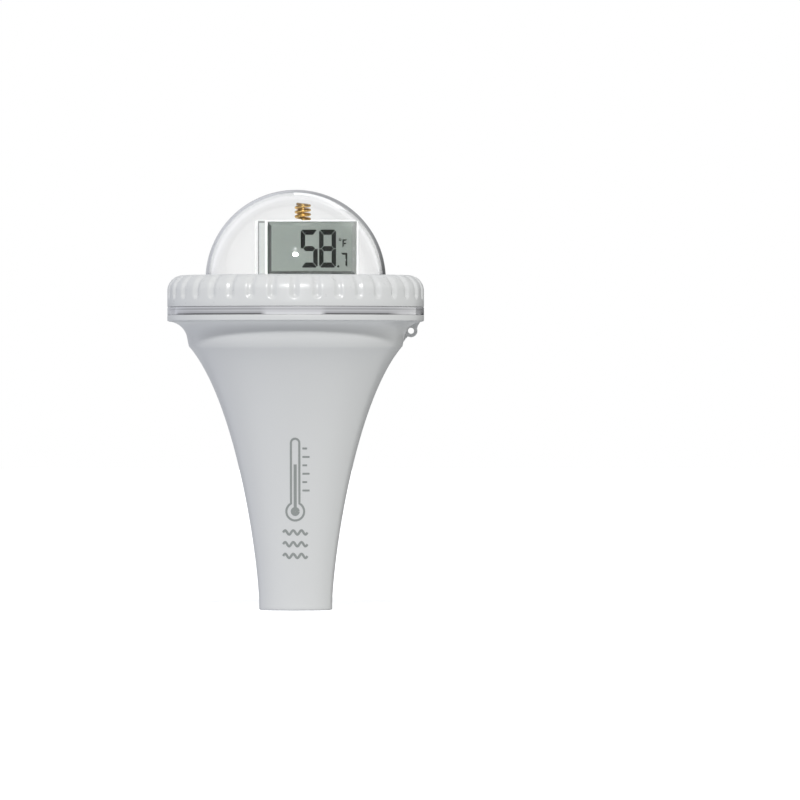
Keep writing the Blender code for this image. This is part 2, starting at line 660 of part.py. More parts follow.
def make_back_cover():
    """The display head's rear cover, open at the buttons, the switch, the aerial and the ribbon."""
    cover = block("back_cover", BACK_X, BACK_Y, BACK_Z, "module_plastic", bevel=BACK_ROUNDING)
    pocket_x = (BOARD_X[0] - GAP, BOARD_X[1] + GAP)
    pocket_z = (BOARD_Z[0] - GAP, BOARD_Z[1] + GAP)
    back_cut = (BACK_Y[1] - BACK_WALL - PAST, BACK_Y[1] + PAST)
    slot_cut(cover, "pocket", pocket_x, (BACK_Y[0] - PAST, BACK_Y[1] - BACK_WALL), pocket_z)
    for x in (UNIT_BUTTON_X, SYNC_BUTTON_X):
        drill(cover, f"button_hole_{x}", (x, BUTTON_Z), *back_cut, BUTTON_RADIUS + GAP, SMALL_SIDES, along="Y")
    switch_x, switch_z = SWITCH_CENTRE
    slot_cut(cover, "switch_slot", about(switch_x, SWITCH_SLOT[0]), back_cut, about(switch_z, SWITCH_SLOT[1]))
    top_cut = (BOARD_Z[1] - 0.6, BACK_Z[1] + PAST)
    drill(cover, "aerial_hole", ANTENNA_CENTRE, *top_cut, AERIAL_HOLE_RADIUS, SMALL_SIDES)
    ribbon_cut = (BACK_Z[0] - PAST, BOARD_Z[0] + 0.4)
    slot_cut(cover, "ribbon_slot", RIBBON_SLOT_X, (BACK_Y[0] - PAST, 5.6), ribbon_cut)
    for height in BACK_SCREW_HEIGHTS:
        spot = (BACK_SCREW_X, height)
        drill(cover, f"screw_hole_{height}", spot, BACK_Y[0] - PAST, BACK_Y[1] + PAST, along="Y")
    return cover


def make_button(name, x):
    """A round push button with a flange inside the cover; its origin is on its line of travel."""
    edge = 0.4
    profile = [(0, BUTTON_FACE), (BUTTON_RADIUS - edge, BUTTON_FACE), (BUTTON_RADIUS, BUTTON_FACE - edge),
               (BUTTON_RADIUS, BUTTON_FLANGE[1]), (BUTTON_FLANGE_RADIUS, BUTTON_FLANGE[1]),
               (BUTTON_FLANGE_RADIUS, BUTTON_FLANGE[0]), (0, BUTTON_FLANGE[0])]
    button = turned(name, profile, "button_grey", sides=SMALL_SIDES)
    button.rotation_euler = (-math.pi / 2, 0, 0)
    button.location = (x * MM, 0, BUTTON_Z * MM)
    return button


def make_tact_switch(name, x):
    """A push switch on the display board: a square can with a round plunger behind the button."""
    width = 2 * TACT_HALF_WIDTH
    can = block(name, about(x, width), TACT_CAN, about(BUTTON_Z, width), "black_component")
    in_can = sum(TACT_CAN) / 2
    join(can, post(f"{name}_plunger", (x, BUTTON_Z), TACT_PLUNGER_RADIUS, in_can, TACT_PLUNGER_FACE,
                   "black_component", along="Y"))
    return can


def centred_block(name, centre, size, y, material):
    """A block whose width and height lie about a centre in X and Z."""
    return block(name, about(centre[0], size[0]), y, about(centre[1], size[1]), material)


def make_channel_switch():
    """The channel selector: a base on the board, and a thumb nub on a plate that slides behind the slot."""
    centred_block("channel_switch_base", SWITCH_CENTRE, *SWITCH_BASE, "black_component")
    slider = centred_block("channel_slider", SWITCH_CENTRE, *SLIDER_PLATE, "button_grey")
    join(slider, centred_block("slider_nub", SWITCH_CENTRE, *SLIDER_NUB, "button_grey"))


def make_antenna_coil():
    """The helical aerial, with a straight leg down to the display board's top edge."""
    front = ANTENNA_CENTRE[1] - ANTENNA_RADIUS
    points = [(ANTENNA_CENTRE[0], front, BOARD_Z[1] + GAP), (ANTENNA_CENTRE[0], front, ANTENNA_LOW - 0.5)]
    steps = 12
    for step in range(round(ANTENNA_TURNS * steps) + 1):
        angle = -math.pi / 2 + 2 * math.pi * step / steps
        x = ANTENNA_CENTRE[0] + ANTENNA_RADIUS * math.cos(angle)
        y = ANTENNA_CENTRE[1] + ANTENNA_RADIUS * math.sin(angle)
        points.append((x, y, ANTENNA_LOW + ANTENNA_PITCH * step / steps))
    return tube("antenna_coil", points, ANTENNA_WIRE, "gold_wire", bevel_resolution=1)


def make_display_head():
    make_display_housing()
    make_lcd_glass()
    reflector_x, reflector_z = ((low + REFLECTOR_INSET, high - REFLECTOR_INSET) for low, high in (LCD_X, LCD_Z))
    block("lcd_reflector", reflector_x, REFLECTOR_Y, reflector_z, "reflector")
    block("elastomer_connector", *ELASTOMER, "seal_rubber")
    block("side_rail", RAIL_X, RAIL_Y, RAIL_Z, "rail_plastic")
    block("display_board", BOARD_X, BOARD_Y, BOARD_Z, "circuit_board")
    block("ribbon_cable", (8, 16), (4.5, 5.0), (MAIN_BOARD[1] + GAP, 124.5), "rail_plastic")
    make_back_cover()
    make_antenna_coil()
    make_button("unit_button", UNIT_BUTTON_X)
    make_button("sync_button", SYNC_BUTTON_X)
    make_tact_switch("unit_tact_switch", UNIT_BUTTON_X)
    make_tact_switch("sync_tact_switch", SYNC_BUTTON_X)
    make_channel_switch()


def make_main_board():
    low, high = MAIN_BOARD
    disc = [(0, high), (MAIN_BOARD_RADIUS, high), (MAIN_BOARD_RADIUS, low), (0, low)]
    turned("main_board", disc, "circuit_board")
    x, y, height = RADIO_CAN
    block("radio_can", x, y, (high + GAP, high + height), "steel", bevel=0.3)
    x, y, height = PROCESSOR
    block("processor_chip", x, y, (high + GAP, high + height), "black_component")
    across, along = (about(middle, 2 * LEAD_CONNECTOR_HALF_WIDTH) for middle in LEAD_PLACE)
    block("lead_connector", across, along, (LEAD_CONNECTOR_LOW, low - GAP), "rail_plastic")


# --- The cells -------------------------------------------------------------------------------------------


def make_cell(name, x, low, nub_up):
    """One round cell with its terminal nub at the top or at the bottom."""
    high = low + CELL_LENGTH
    barrel = (low, high - NUB_HEIGHT) if nub_up else (low + NUB_HEIGHT, high)
    if nub_up:
        profile = [(0, high), (NUB_RADIUS, high), (NUB_RADIUS, barrel[1]), (CELL_RADIUS, barrel[1]),
                   (CELL_RADIUS, barrel[0]), (0, barrel[0])]
    else:
        profile = [(0, barrel[1]), (CELL_RADIUS, barrel[1]), (CELL_RADIUS, barrel[0]), (NUB_RADIUS, barrel[0]),
                   (NUB_RADIUS, low), (0, low)]
    cell = turned(name, profile, "cell_jacket", sides=24)
    cell.location = (x * MM, 0, 0)
    return cell


def make_contact_spring(name, x, low, high):
    """A conical contact spring, wide below and narrow above."""
    turns, steps, wire = 2.5, 10, 0.35
    wide, narrow = 3.6, 2.0
    points = []
    for step in range(round(turns * steps) + 1):
        share = step / (turns * steps)
        angle = 2 * math.pi * step / steps
        radius = wide + (narrow - wide) * share
        height = low + wire + (high - low - 2 * wire) * share
        points.append((x + radius * math.cos(angle), radius * math.sin(angle), height))
    return tube(name, points, wire, "steel", bevel_resolution=1)


def make_battery_holder():
    """The two-cell tube, with a flange and two ears that sit on the chassis floor, and a doorway in front."""
    outer = HOLDER_INNER + HOLDER_WALL
    holder = prism("battery_holder", stadium(outer), *HOLDER_Z, "black_component")
    join(holder, prism("holder_flange", stadium(outer + HOLDER_LIP), *HOLDER_FLANGE, "black_component"))
    for side in (-1, 1):
        join(holder, post(f"ear_{side}", (0, side * EAR_Y), EAR_RADIUS, *HOLDER_FLANGE, "black_component"))
    space = (HOLDER_Z[0] + HOLDER_FLOOR, HOLDER_Z[1] + PAST)
    cut(holder, prism("cell_space", stadium(HOLDER_INNER), *space, "black_component"))
    doorway_x = (-DOOR_HALF_WIDTH - GAP, DOOR_HALF_WIDTH + GAP)
    doorway_y = (-HOLDER_INNER - HOLDER_WALL - HOLDER_LIP - PAST, DOOR_BACK)
    slot_cut(holder, "doorway", doorway_x, doorway_y, (DOOR_Z[0] - GAP, DOOR_Z[1] + GAP))
    for side in (-1, 1):
        drill(holder, f"ear_hole_{side}", (0, side * EAR_Y), HOLDER_FLANGE[0] - PAST, HOLDER_FLANGE[1] + PAST)
    return holder


def make_battery_door():
    """The clip-in front of the holder: the stretch of its wall that the doorway leaves out."""
    door = prism("battery_door", stadium(HOLDER_INNER + HOLDER_WALL), *DOOR_Z, "black_component")
    past_door = (DOOR_Z[0] - PAST, DOOR_Z[1] + PAST)
    cut(door, prism("door_space", stadium(HOLDER_INNER), *past_door, "black_component"))
    front = -HOLDER_INNER - HOLDER_WALL - PAST
    across = (-DOOR_HALF_WIDTH, DOOR_HALF_WIDTH)
    keep = block("door_keep", across, (front, DOOR_BACK - GAP), past_door, "black_component")
    combine(door, keep, "INTERSECT")
    return door


def make_cells_and_contacts():
    make_battery_holder()
    make_battery_door()
    make_cell("battery_cell_left", -CELL_X, LEFT_CELL_LOW, nub_up=True)
    make_cell("battery_cell_right", CELL_X, RIGHT_CELL_LOW, nub_up=False)
    block("bridge_contact", (-11.5, 11.5), (-3.0, 3.0), (48.5, 48.9), "steel")
    make_contact_spring("bridge_spring", -CELL_X, 49.2, LEFT_CELL_LOW - GAP)
    left_top = LEFT_CELL_LOW + CELL_LENGTH
    block("positive_contact", (-11.0, -4.0), (-3.5, 3.5), (left_top + GAP, END_CAP_Z[0] - GAP), "steel")
    make_contact_spring("negative_spring", CELL_X, RIGHT_CELL_LOW + CELL_LENGTH + GAP, END_CAP_Z[0] - GAP)
    prism("battery_end_cap", stadium(HOLDER_INNER + HOLDER_WALL), *END_CAP_Z, "black_component")


# --- The tail --------------------------------------------------------------------------------------------


def make_probe_thimble():
    """The metal cup in the foot that carries the water's heat to the sensor."""
    profile = [(PROBE_BORE, PROBE_Z[1]), (PROBE_RADIUS, PROBE_Z[1]), (PROBE_RADIUS, PROBE_FLANGE[1]),
               (PROBE_FLANGE_RADIUS, PROBE_FLANGE[1]), (PROBE_FLANGE_RADIUS, PROBE_FLANGE[0]),
               (PROBE_RADIUS, PROBE_FLANGE[0]), (PROBE_RADIUS, PROBE_Z[0]), (0, PROBE_Z[0]),
               (0, PROBE_Z[0] + 0.5), (PROBE_BORE, PROBE_Z[0] + 0.5)]
    return turned("probe_thimble", profile, "steel", sides=24)


def make_ballast():
    profile = [(BALLAST_RADII[1], BALLAST_Z[1]), (BALLAST_RADII[0], BALLAST_Z[0]), (BALLAST_BORE, BALLAST_Z[0]),
               (BALLAST_BORE, BALLAST_Z[1])]
    turned("ballast_weight", profile, "ballast_iron")
    profile = [(RETAINER_RADIUS, RETAINER_Z[1]), (RETAINER_RADIUS, RETAINER_Z[0]), (RETAINER_BORE, RETAINER_Z[0]),
               (RETAINER_BORE, RETAINER_Z[1])]
    turned("ballast_retainer", profile, "seal_rubber")


def make_thermistor_bead():
    """The sensor bead at the bottom of the thimble, with its round nose down."""
    radius = 1.6
    profile = [(0, 6.3), (1.0, 6.3), (radius, 5.0)] + arc((0, 3.5), radius, 0, -90, 4)
    profile[-1] = (0, 3.5 - radius)
    turned("thermistor_bead", profile, "black_component", sides=SMALL_SIDES)


def make_lead_grommet():
    """The rubber bush that guides the lead through the chassis floor."""
    bore = LEAD_RADIUS + GAP
    high = CHASSIS_FLOOR[1] + GAP
    profile = [(bore, high + 1.0), (2.3, high + 1.0), (2.3, high), (1.6, high), (1.6, 92.6), (bore, 92.6)]
    grommet = turned("lead_grommet", profile, "seal_rubber", sides=12)
    grommet.location = (LEAD_PLACE[0] * MM, LEAD_PLACE[1] * MM, 0)


def make_tail():
    make_probe_thimble()
    make_ring("probe_seal", 5.3, 0.4, (FLOOR_TOP + PROBE_FLANGE[0]) / 2, "seal_rubber", sides=SMALL_SIDES)
    make_ballast()
    make_thermistor_bead()
    make_lead_grommet()
    tube("sensor_lead", smooth_route(LEAD_ROUTE, LEAD_POINT_STEP), LEAD_RADIUS, "lead_jacket")


# --- Fasteners and assembly ------------------------------------------------------------------------------


def make_screws():
    chassis_length = CHASSIS_FLOOR[1] - SCREW_BOSS_LOW - 1.0
    for number, degrees in enumerate(CHASSIS_SCREW_ANGLES, start=1):
        spot = spot_on_circle(CHASSIS_SCREW_CIRCLE, degrees)
        screw(f"chassis_screw_{number}", *spot, CHASSIS_FLOOR[1], chassis_length)
    for place, side in (("left", -1), ("right", 1)):
        screw(f"deck_screw_{place}", side * DECK_SCREW_X, 0, TAB_TOP, 10)
    for place, side in (("front", -1), ("rear", 1)):
        screw(f"holder_screw_{place}", 0, side * EAR_Y, HOLDER_FLANGE[1], 7.5)
    for place, height in zip(("low", "high"), BACK_SCREW_HEIGHTS):
        screw(f"back_screw_{place}", BACK_SCREW_X, height, BACK_Y[1], 9.5, direction="Y")


def main():
    for obj in list(bpy.data.objects):
        bpy.data.objects.remove(obj, do_unlink=True)
    make_float_body()
    make_clear_dome_cover()
    make_grip_collar()
    make_ring("cover_o_ring", O_RING_RADIUS, O_RING_SECTION, sum(GROOVE) / 2, "seal_rubber")
    make_module_chassis()
    make_deck_plate()
    make_display_head()
    make_main_board()
    make_cells_and_contacts()
    make_tail()
    make_screws()


main()
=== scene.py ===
"""The looks of the floating pool thermometer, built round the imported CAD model.

Lengths in this file are millimetres, and MM turns them into the frame's metres. +Z is up, the display
faces -Y, and the lanyard eyelet is at +X.
"""

import json
import math

import bmesh
import bpy
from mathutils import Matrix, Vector


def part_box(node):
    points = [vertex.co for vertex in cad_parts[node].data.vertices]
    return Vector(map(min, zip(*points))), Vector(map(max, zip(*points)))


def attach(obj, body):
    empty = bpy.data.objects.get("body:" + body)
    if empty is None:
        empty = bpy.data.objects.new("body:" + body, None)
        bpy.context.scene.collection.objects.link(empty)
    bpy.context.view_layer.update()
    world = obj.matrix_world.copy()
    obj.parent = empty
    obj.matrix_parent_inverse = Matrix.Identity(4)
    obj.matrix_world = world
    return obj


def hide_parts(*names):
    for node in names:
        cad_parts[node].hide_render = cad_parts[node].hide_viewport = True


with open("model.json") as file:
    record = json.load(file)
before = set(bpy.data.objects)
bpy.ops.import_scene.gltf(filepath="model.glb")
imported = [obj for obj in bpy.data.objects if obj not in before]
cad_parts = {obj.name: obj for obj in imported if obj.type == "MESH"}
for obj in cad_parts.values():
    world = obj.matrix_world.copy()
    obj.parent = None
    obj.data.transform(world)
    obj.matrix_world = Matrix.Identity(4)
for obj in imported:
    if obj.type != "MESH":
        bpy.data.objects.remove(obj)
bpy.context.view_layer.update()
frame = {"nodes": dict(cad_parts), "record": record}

MM = 0.001


def box_mm(node):
    """A CAD node's lowest and highest corners, in millimetres."""
    low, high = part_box(node)
    return low / MM, high / MM


_, BODY_HIGH = box_mm("float_body")
COVER_LOW, COVER_HIGH = box_mm("clear_dome_cover")
COLLAR_LOW, COLLAR_HIGH = box_mm("grip_collar")
LCD_LOW, LCD_HIGH = box_mm("lcd_glass")

RIM_RADIUS = BODY_HIGH.x
ROUND_SIDES = 192

# The float: FLARE is its side from foot to shoulder, a cubic curve's four points as radius and height
FLARE = ((13.1, 0.6), (12.95, 15.6), (20.9, 74.5), (38.3, 94.6))
WALL = 2.0
COVE_CENTRE = (45.8, 96.4)
COVE_RADIUS = 7.0
COVE_START = 171.8
RIM_LOW = 103.5
SEAL_BORE = 36.45
PROBE_HOLE = 4.3

# The cover
DOME_CENTRE = 118.3
DOME_RADIUS = COVER_HIGH.z - DOME_CENTRE
DOME_WALL = 0.9
SKIRT_RADIUS = 34.6
SKIRT_INNER = 32.7
FLANGE_LOW = BODY_HIGH.z + 0.06
FLANGE_TOP = COLLAR_LOW.z - 0.05
THREAD_LEAD = 3.0
THREAD_TURNS = 1.2
THREAD_START = 98.2
THREAD_ANGLE = math.radians(4)

# The grip collar
FLUTES = 36
FLUTE_DEPTH = 0.85
FLUTE_HALF_WIDTH = 1.95
FLUTE_LOW = 111.0
COLLAR_CORNER = 5.6
COLLAR_BORE = 32.7

INK_HEIGHT = 0.06  # of the printed mark

# The display head and its deck
SCREW_HOLE = 1.15
DECK_SCREW = 25.8
BACK_SCREWS = ((-12.5, 123.0), (-12.5, 135.5))
BUTTON_HEIGHT = 128.5
BUTTONS = (-5.5, 11.0)
SWITCH = (2.5, 121.8)
AERIAL = (2.5, 5.6)
RIBBON_LEFT, RIBBON_RIGHT = 7.6, 16.4
RIBBON_FRONT, RIBBON_BACK = 4.0, 5.6
RAIL_GROOVE = -10.75
INK_FRONT, INK_BACK = LCD_LOW.y - 0.04, LCD_LOW.y + 0.1


# --- Materials ---


def new_material(name):
    """A node material and its Principled shader."""
    material = bpy.data.materials.new(name)
    material.use_nodes = True
    return material, material.node_tree, material.node_tree.nodes["Principled BSDF"]


def set_inputs(node, values):
    for name, value in values.items():
        node.inputs[name].default_value = value


def object_position(tree, scale=(1, 1, 1)):
    """Coordinates fixed to the piece, in metres times scale."""
    source = tree.nodes.new("ShaderNodeTexCoord")
    mapping = tree.nodes.new("ShaderNodeMapping")
    mapping.inputs["Scale"].default_value = scale
    tree.links.new(source.outputs["Object"], mapping.inputs["Vector"])
    return mapping.outputs["Vector"]


def noise(tree, scale, detail=3.0, stretch=(1, 1, 1)):
    """A cloudy pattern from 0 to 1, fixed to the piece."""
    node = tree.nodes.new("ShaderNodeTexNoise")
    set_inputs(node, {"Scale": scale, "Detail": detail})
    tree.links.new(object_position(tree, stretch), node.inputs["Vector"])
    return node.outputs["Fac"]


def spread(tree, value, start, end, low=0.0, high=1.0, how="LINEAR"):
    """Goes from low to high while the value goes from start to end, and stays level beyond them."""
    node = tree.nodes.new("ShaderNodeMapRange")
    node.interpolation_type = how
    set_inputs(node, {"From Min": start, "From Max": end, "To Min": low, "To Max": high})
    tree.links.new(value, node.inputs["Value"])
    return node.outputs["Result"]


def ranged(tree, value, low, high):
    """The value, from 0 to 1, spread from low to high."""
    return spread(tree, value, 0, 1, low, high)


def place_along(tree, axis):
    """Where the surface lies along one axis of the piece, in metres."""
    place = tree.nodes.new("ShaderNodeSeparateXYZ")
    tree.links.new(object_position(tree), place.inputs["Vector"])
    return place.outputs[axis]


def share_along(tree, axis, start, end):
    """Goes from 0 to 1 between two places, in millimetres, along an axis of the piece."""
    return spread(tree, place_along(tree, axis), start * MM, end * MM)


def grey_ramp(tree, value, stops, blue=1.0):
    """A grey that follows (value, shade) stops from 0 to 1, with its blue scaled."""
    node = tree.nodes.new("ShaderNodeValToRGB")
    elements = node.color_ramp.elements
    first, *middle, last = stops
    for end, (_, shade) in enumerate((first, last)):
        elements[end].color = (shade, shade, shade * blue, 1)
    for position, shade in middle:
        elements.new(position).color = (shade, shade, shade * blue, 1)
    tree.links.new(value, node.inputs["Fac"])
    return node.outputs["Color"]


def mixed_colour(tree, factor, first, second):
    """Goes from the first colour to the second. Each is three numbers or a socket."""
    node = tree.nodes.new("ShaderNodeMix")
    node.data_type = "RGBA"
    for index, colour in ((6, first), (7, second)):
        if isinstance(colour, bpy.types.NodeSocket):
            tree.links.new(colour, node.inputs[index])
        else:
            node.inputs[index].default_value = (*colour, 1)
    tree.links.new(factor, node.inputs["Factor"])
    return node.outputs[2]


def math_of(tree, operation, first, second=None):
    """One sum, product or comparison of sockets and numbers."""
    node = tree.nodes.new("ShaderNodeMath")
    node.operation = operation
    for socket, value in zip(node.inputs, (first, second)):
        if isinstance(value, bpy.types.NodeSocket):
            tree.links.new(value, socket)
        elif value is not None:
            socket.default_value = value
    return node.outputs["Value"]


def product_of(tree, first, *others):
    """The product of sockets and numbers."""
    for other in others:
        first = math_of(tree, "MULTIPLY", first, other)
    return first


def within(tree, socket, low, high):
    """1 where the socket lies between two values, and 0 elsewhere."""
    above = math_of(tree, "GREATER_THAN", socket, low)
    return product_of(tree, above, math_of(tree, "LESS_THAN", socket, high))


def bumped(tree, shader, height, distance):
    """Raises the surface by a height pattern, distance being its depth in metres."""
    bump = tree.nodes.new("ShaderNodeBump")
    set_inputs(bump, {"Strength": 1.0, "Distance": distance})
    tree.links.new(height, bump.inputs["Height"])
    tree.links.new(bump.outputs["Normal"], shader.inputs["Normal"])


def varied(tree, shader, colour, roughness):
    """Gives a shader a colour and a roughness that change over the surface."""
    tree.links.new(colour, shader.inputs["Base Color"])
    tree.links.new(roughness, shader.inputs["Roughness"])


def either_shader(tree, factor, first, second, output):
    """Shows the first shader where the factor is 0, and the second where it is 1."""
    either = tree.nodes.new("ShaderNodeMixShader")
    for source, target in zip((factor, first, second), either.inputs):
        tree.links.new(source, target)
    tree.links.new(either.outputs["Shader"], output.inputs["Surface"])


def moulded_plastic(name, colour, darker, roughness, grain=0.000012, coat=0.0):
    """Injection-moulded plastic: cloudy tint, uneven sheen and a fine spark-eroded grain."""
    material, tree, shader = new_material(name)
    cloud, sheen = noise(tree, 45, 4), noise(tree, 320, 2)
    varied(tree, shader, mixed_colour(tree, cloud, colour, darker),
           ranged(tree, sheen, roughness - 0.05, roughness + 0.06))
    bumped(tree, shader, noise(tree, 2600, 2), grain)
    set_inputs(shader, {"IOR": 1.5, "Coat Weight": coat, "Coat Roughness": 0.12})
    return material


def clear_plastic(name):
    """Clear polished plastic that lamps shine through, with faint moulding ripples and hairline scuffs."""
    material, tree, shader = new_material(name)
    set_inputs(shader, {"Base Color": (0.997, 0.998, 0.998, 1), "Transmission Weight": 1.0, "IOR": 1.47,
                        "Specular IOR Level": 0.12})
    scuffs = noise(tree, 900, 2, (1, 1, 0.15))
    tree.links.new(ranged(tree, scuffs, 0.022, 0.03), shader.inputs["Roughness"])
    bumped(tree, shader, noise(tree, 30, 2), 0.0000005)
    clear = tree.nodes.new("ShaderNodeBsdfTransparent")
    clear.inputs["Color"].default_value = (0.94, 0.95, 0.95, 1)
    rays = tree.nodes.new("ShaderNodeLightPath")
    either_shader(tree, rays.outputs["Is Shadow Ray"], shader.outputs["BSDF"], clear.outputs["BSDF"],
                  tree.nodes["Material Output"])
    return material


def flange_painted_light(name, low, high):
    """The clear flange seen edge on, with its light and shade painted in: a painted dark line of shade at its
    foot, painted milky greys above, and painted patches of light across.
    """
    material, tree, shader = new_material(name)
    height = share_along(tree, "Z", low, high)
    # Painted shade and light: grey bands up the flange's height stand in for its reflections and refraction
    painted_bands = grey_ramp(tree, height, ((0.0, 0.26), (0.06, 0.16), (0.13, 0.16), (0.22, 0.48), (0.36, 0.53),
                                     (0.50, 0.66), (0.57, 0.60), (0.63, 0.42), (0.72, 0.44), (0.80, 0.60),
                                     (0.90, 0.64), (1.0, 0.42)), blue=1.03)
    # Painted light: paler patches across the flange where lamps shine through and reflect, strongest low down
    # and fading upwards
    painted_light_patches = ((-45.4, 0.0), (-44.8, 0.8), (-43.0, 0.8), (-41.8, 0.0), (-12.2, 0.0), (-9.8, 0.9), (9.2, 0.9),
               (11.4, 0.0), (33.0, 0.0), (37.5, 0.7), (44.6, 0.9), (45.3, 0.0))
    stops = [(0, 0)] + [(0.5 + 0.5 * x / RIM_RADIUS, share) for x, share in painted_light_patches] + [(1, 0)]
    painted_light_mask = grey_ramp(tree, share_along(tree, "X", -RIM_RADIUS, RIM_RADIUS), stops)
    cloudy = ranged(tree, noise(tree, 90, 2), 0.0, 0.12)
    painted_band_colour = mixed_colour(tree, cloudy, painted_bands, (0.30, 0.31, 0.32))
    share = product_of(tree, painted_light_mask, spread(tree, height, 0.12, 0.50, 1.0, 0.25))
    varied(tree, shader, mixed_colour(tree, share, painted_band_colour, (0.95, 0.95, 0.97)),
           ranged(tree, noise(tree, 700, 2), 0.02, 0.08))
    bumped(tree, shader, noise(tree, 60, 2), 0.0000015)
    set_inputs(shader, {"Transmission Weight": 0.15, "IOR": 1.47, "Coat Weight": 1.0, "Coat Roughness": 0.02})
    return material


def brushed_metal(name, colour, darker, roughness, stretch=(1, 1, 1)):
    """Plated metal with fine drawing lines and slightly uneven tone."""
    material, tree, shader = new_material(name)
    shader.inputs["Metallic"].default_value = 1.0
    lines = noise(tree, 1500, 3, stretch)
    varied(tree, shader, mixed_colour(tree, lines, colour, darker),
           ranged(tree, lines, roughness - 0.08, roughness + 0.1))
    bumped(tree, shader, lines, 0.000006)
    return material


def soft_rubber(name, colour, darker):
    """Matt rubber with a faint bloom."""
    material, tree, shader = new_material(name)
    bloom = noise(tree, 180, 4)
    varied(tree, shader, mixed_colour(tree, bloom, colour, darker), ranged(tree, bloom, 0.5, 0.75))
    bumped(tree, shader, noise(tree, 1800, 3), 0.00002)
    return material


def circuit_board(name):
    """Green solder resist over straight copper tracks."""
    material, tree, shader = new_material(name)
    tracks = tree.nodes.new("ShaderNodeTexBrick")
    set_inputs(tracks, {"Scale": 300, "Mortar Size": 0.045, "Color1": (0.010, 0.110, 0.045, 1),
                        "Color2": (0.012, 0.135, 0.055, 1), "Mortar": (0.045, 0.260, 0.110, 1)})
    tree.links.new(object_position(tree, (1, 1.3, 1)), tracks.inputs["Vector"])
    varied(tree, shader, tracks.outputs["Color"], ranged(tree, noise(tree, 400, 2), 0.28, 0.42))
    bumped(tree, shader, tracks.outputs["Fac"], 0.00003)
    return material


def display_face(name):
    """The face of the display: a greenish grey film, a little darker towards the right."""
    material, tree, shader = new_material(name)
    across = share_along(tree, "X", LCD_LOW.x, LCD_HIGH.x)
    film = mixed_colour(tree, across, (0.178, 0.200, 0.181), (0.168, 0.186, 0.169))
    speckle = ranged(tree, noise(tree, 5200, 1), 0.0, 0.35)
    varied(tree, shader, mixed_colour(tree, speckle, film, (0.14, 0.157, 0.14)),
           ranged(tree, noise(tree, 700, 2), 0.10, 0.18))
    set_inputs(shader, {"Coat Weight": 0.5, "Coat Roughness": 0.03})
    return material


def cell_jacket(name, band_low):
    """A plain cell wrapper: dark sleeve with a copper-coloured band at the top end."""
    material, tree, shader = new_material(name)
    band = math_of(tree, "GREATER_THAN", place_along(tree, "Z"), band_low * MM)
    varied(tree, shader, mixed_colour(tree, band, (0.02, 0.028, 0.035), (0.48, 0.24, 0.10)),
           ranged(tree, noise(tree, 500, 3), 0.2, 0.34))
    shader.inputs["Metallic"].default_value = 0.4
    return material


WHITE_SHELL = moulded_plastic("white_shell_grain", (0.665, 0.672, 0.668), (0.65, 0.657, 0.655), 0.36,
                              coat=0.15)
WHITE_COLLAR = moulded_plastic("white_collar_gloss", (0.675, 0.682, 0.675), (0.66, 0.667, 0.665), 0.29)
MODULE_WHITE = moulded_plastic("module_white", (0.80, 0.80, 0.79), (0.77, 0.77, 0.765), 0.45)
# A darker copy of the module white, for painted shade
MODULE_PAINTED_SHADE = moulded_plastic("module_painted_shade", (0.62, 0.62, 0.615), (0.59, 0.59, 0.585), 0.45)
RAIL_GREY = moulded_plastic("rail_grey", (0.40, 0.41, 0.40), (0.36, 0.37, 0.36), 0.35)
# Dark plastic for painted shade beside the rail
RAIL_PAINTED_SHADE = moulded_plastic("rail_painted_shade", (0.13, 0.135, 0.133), (0.11, 0.115, 0.113), 0.5)
BUTTON_GREY = moulded_plastic("button_grey", (0.26, 0.28, 0.30), (0.22, 0.24, 0.26), 0.5)
BLACK_PLASTIC = moulded_plastic("black_plastic", (0.022, 0.022, 0.024), (0.035, 0.035, 0.037), 0.5, 0.00002)
PRINT_GREY = moulded_plastic("print_grey", (0.30, 0.32, 0.31), (0.27, 0.29, 0.28), 0.5)
CLEAR = clear_plastic("clear_cover")
# The flange's material has its light and shade painted in
FLANGE = flange_painted_light("clear_flange_painted_light", FLANGE_LOW, FLANGE_TOP)
LCD_FACE = display_face("display_face")
# Painted shade and painted light for the display's sloping edges: a dark copy and a pale copy
LCD_PAINTED_SHADE = moulded_plastic("display_edge_painted_shade", (0.045, 0.050, 0.047), (0.07, 0.076, 0.07), 0.25)
LCD_PAINTED_LIGHT = moulded_plastic("display_edge_painted_light", (0.225, 0.235, 0.222), (0.205, 0.213, 0.202), 0.25)
LCD_INK = moulded_plastic("display_ink", (0.001, 0.002, 0.001), (0.003, 0.004, 0.003), 0.14)
GOLD = brushed_metal("gold_wire", (0.80, 0.53, 0.18), (0.56, 0.33, 0.08), 0.2)
STEEL = brushed_metal("plated_steel", (0.66, 0.66, 0.67), (0.50, 0.50, 0.52), 0.30, (1, 1, 6))
IRON = brushed_metal("ballast_iron", (0.16, 0.16, 0.17), (0.10, 0.10, 0.11), 0.62)
RUBBER = soft_rubber("seal_rubber", (0.030, 0.030, 0.032), (0.045, 0.045, 0.047))
SILICONE = soft_rubber("pale_silicone", (0.46, 0.47, 0.48), (0.40, 0.41, 0.42))
BOARD = circuit_board("board_green")

# --- Shape tools ---


def arc(centre, radius, start_degrees, end_degrees, steps):
    """Points along part of a circle, both ends included."""
    points = []
    for step in range(steps + 1):
        angle = math.radians(start_degrees + (end_degrees - start_degrees) * step / steps)
        points.append((centre[0] + radius * math.cos(angle), centre[1] + radius * math.sin(angle)))
    return points


def circle(centre, radius, sides):
    return arc(centre, radius, 0, 360 - 360 / sides, sides - 1)


def rectangle(left, low, right, high):
    return [(left, low), (right, low), (right, high), (left, high)]


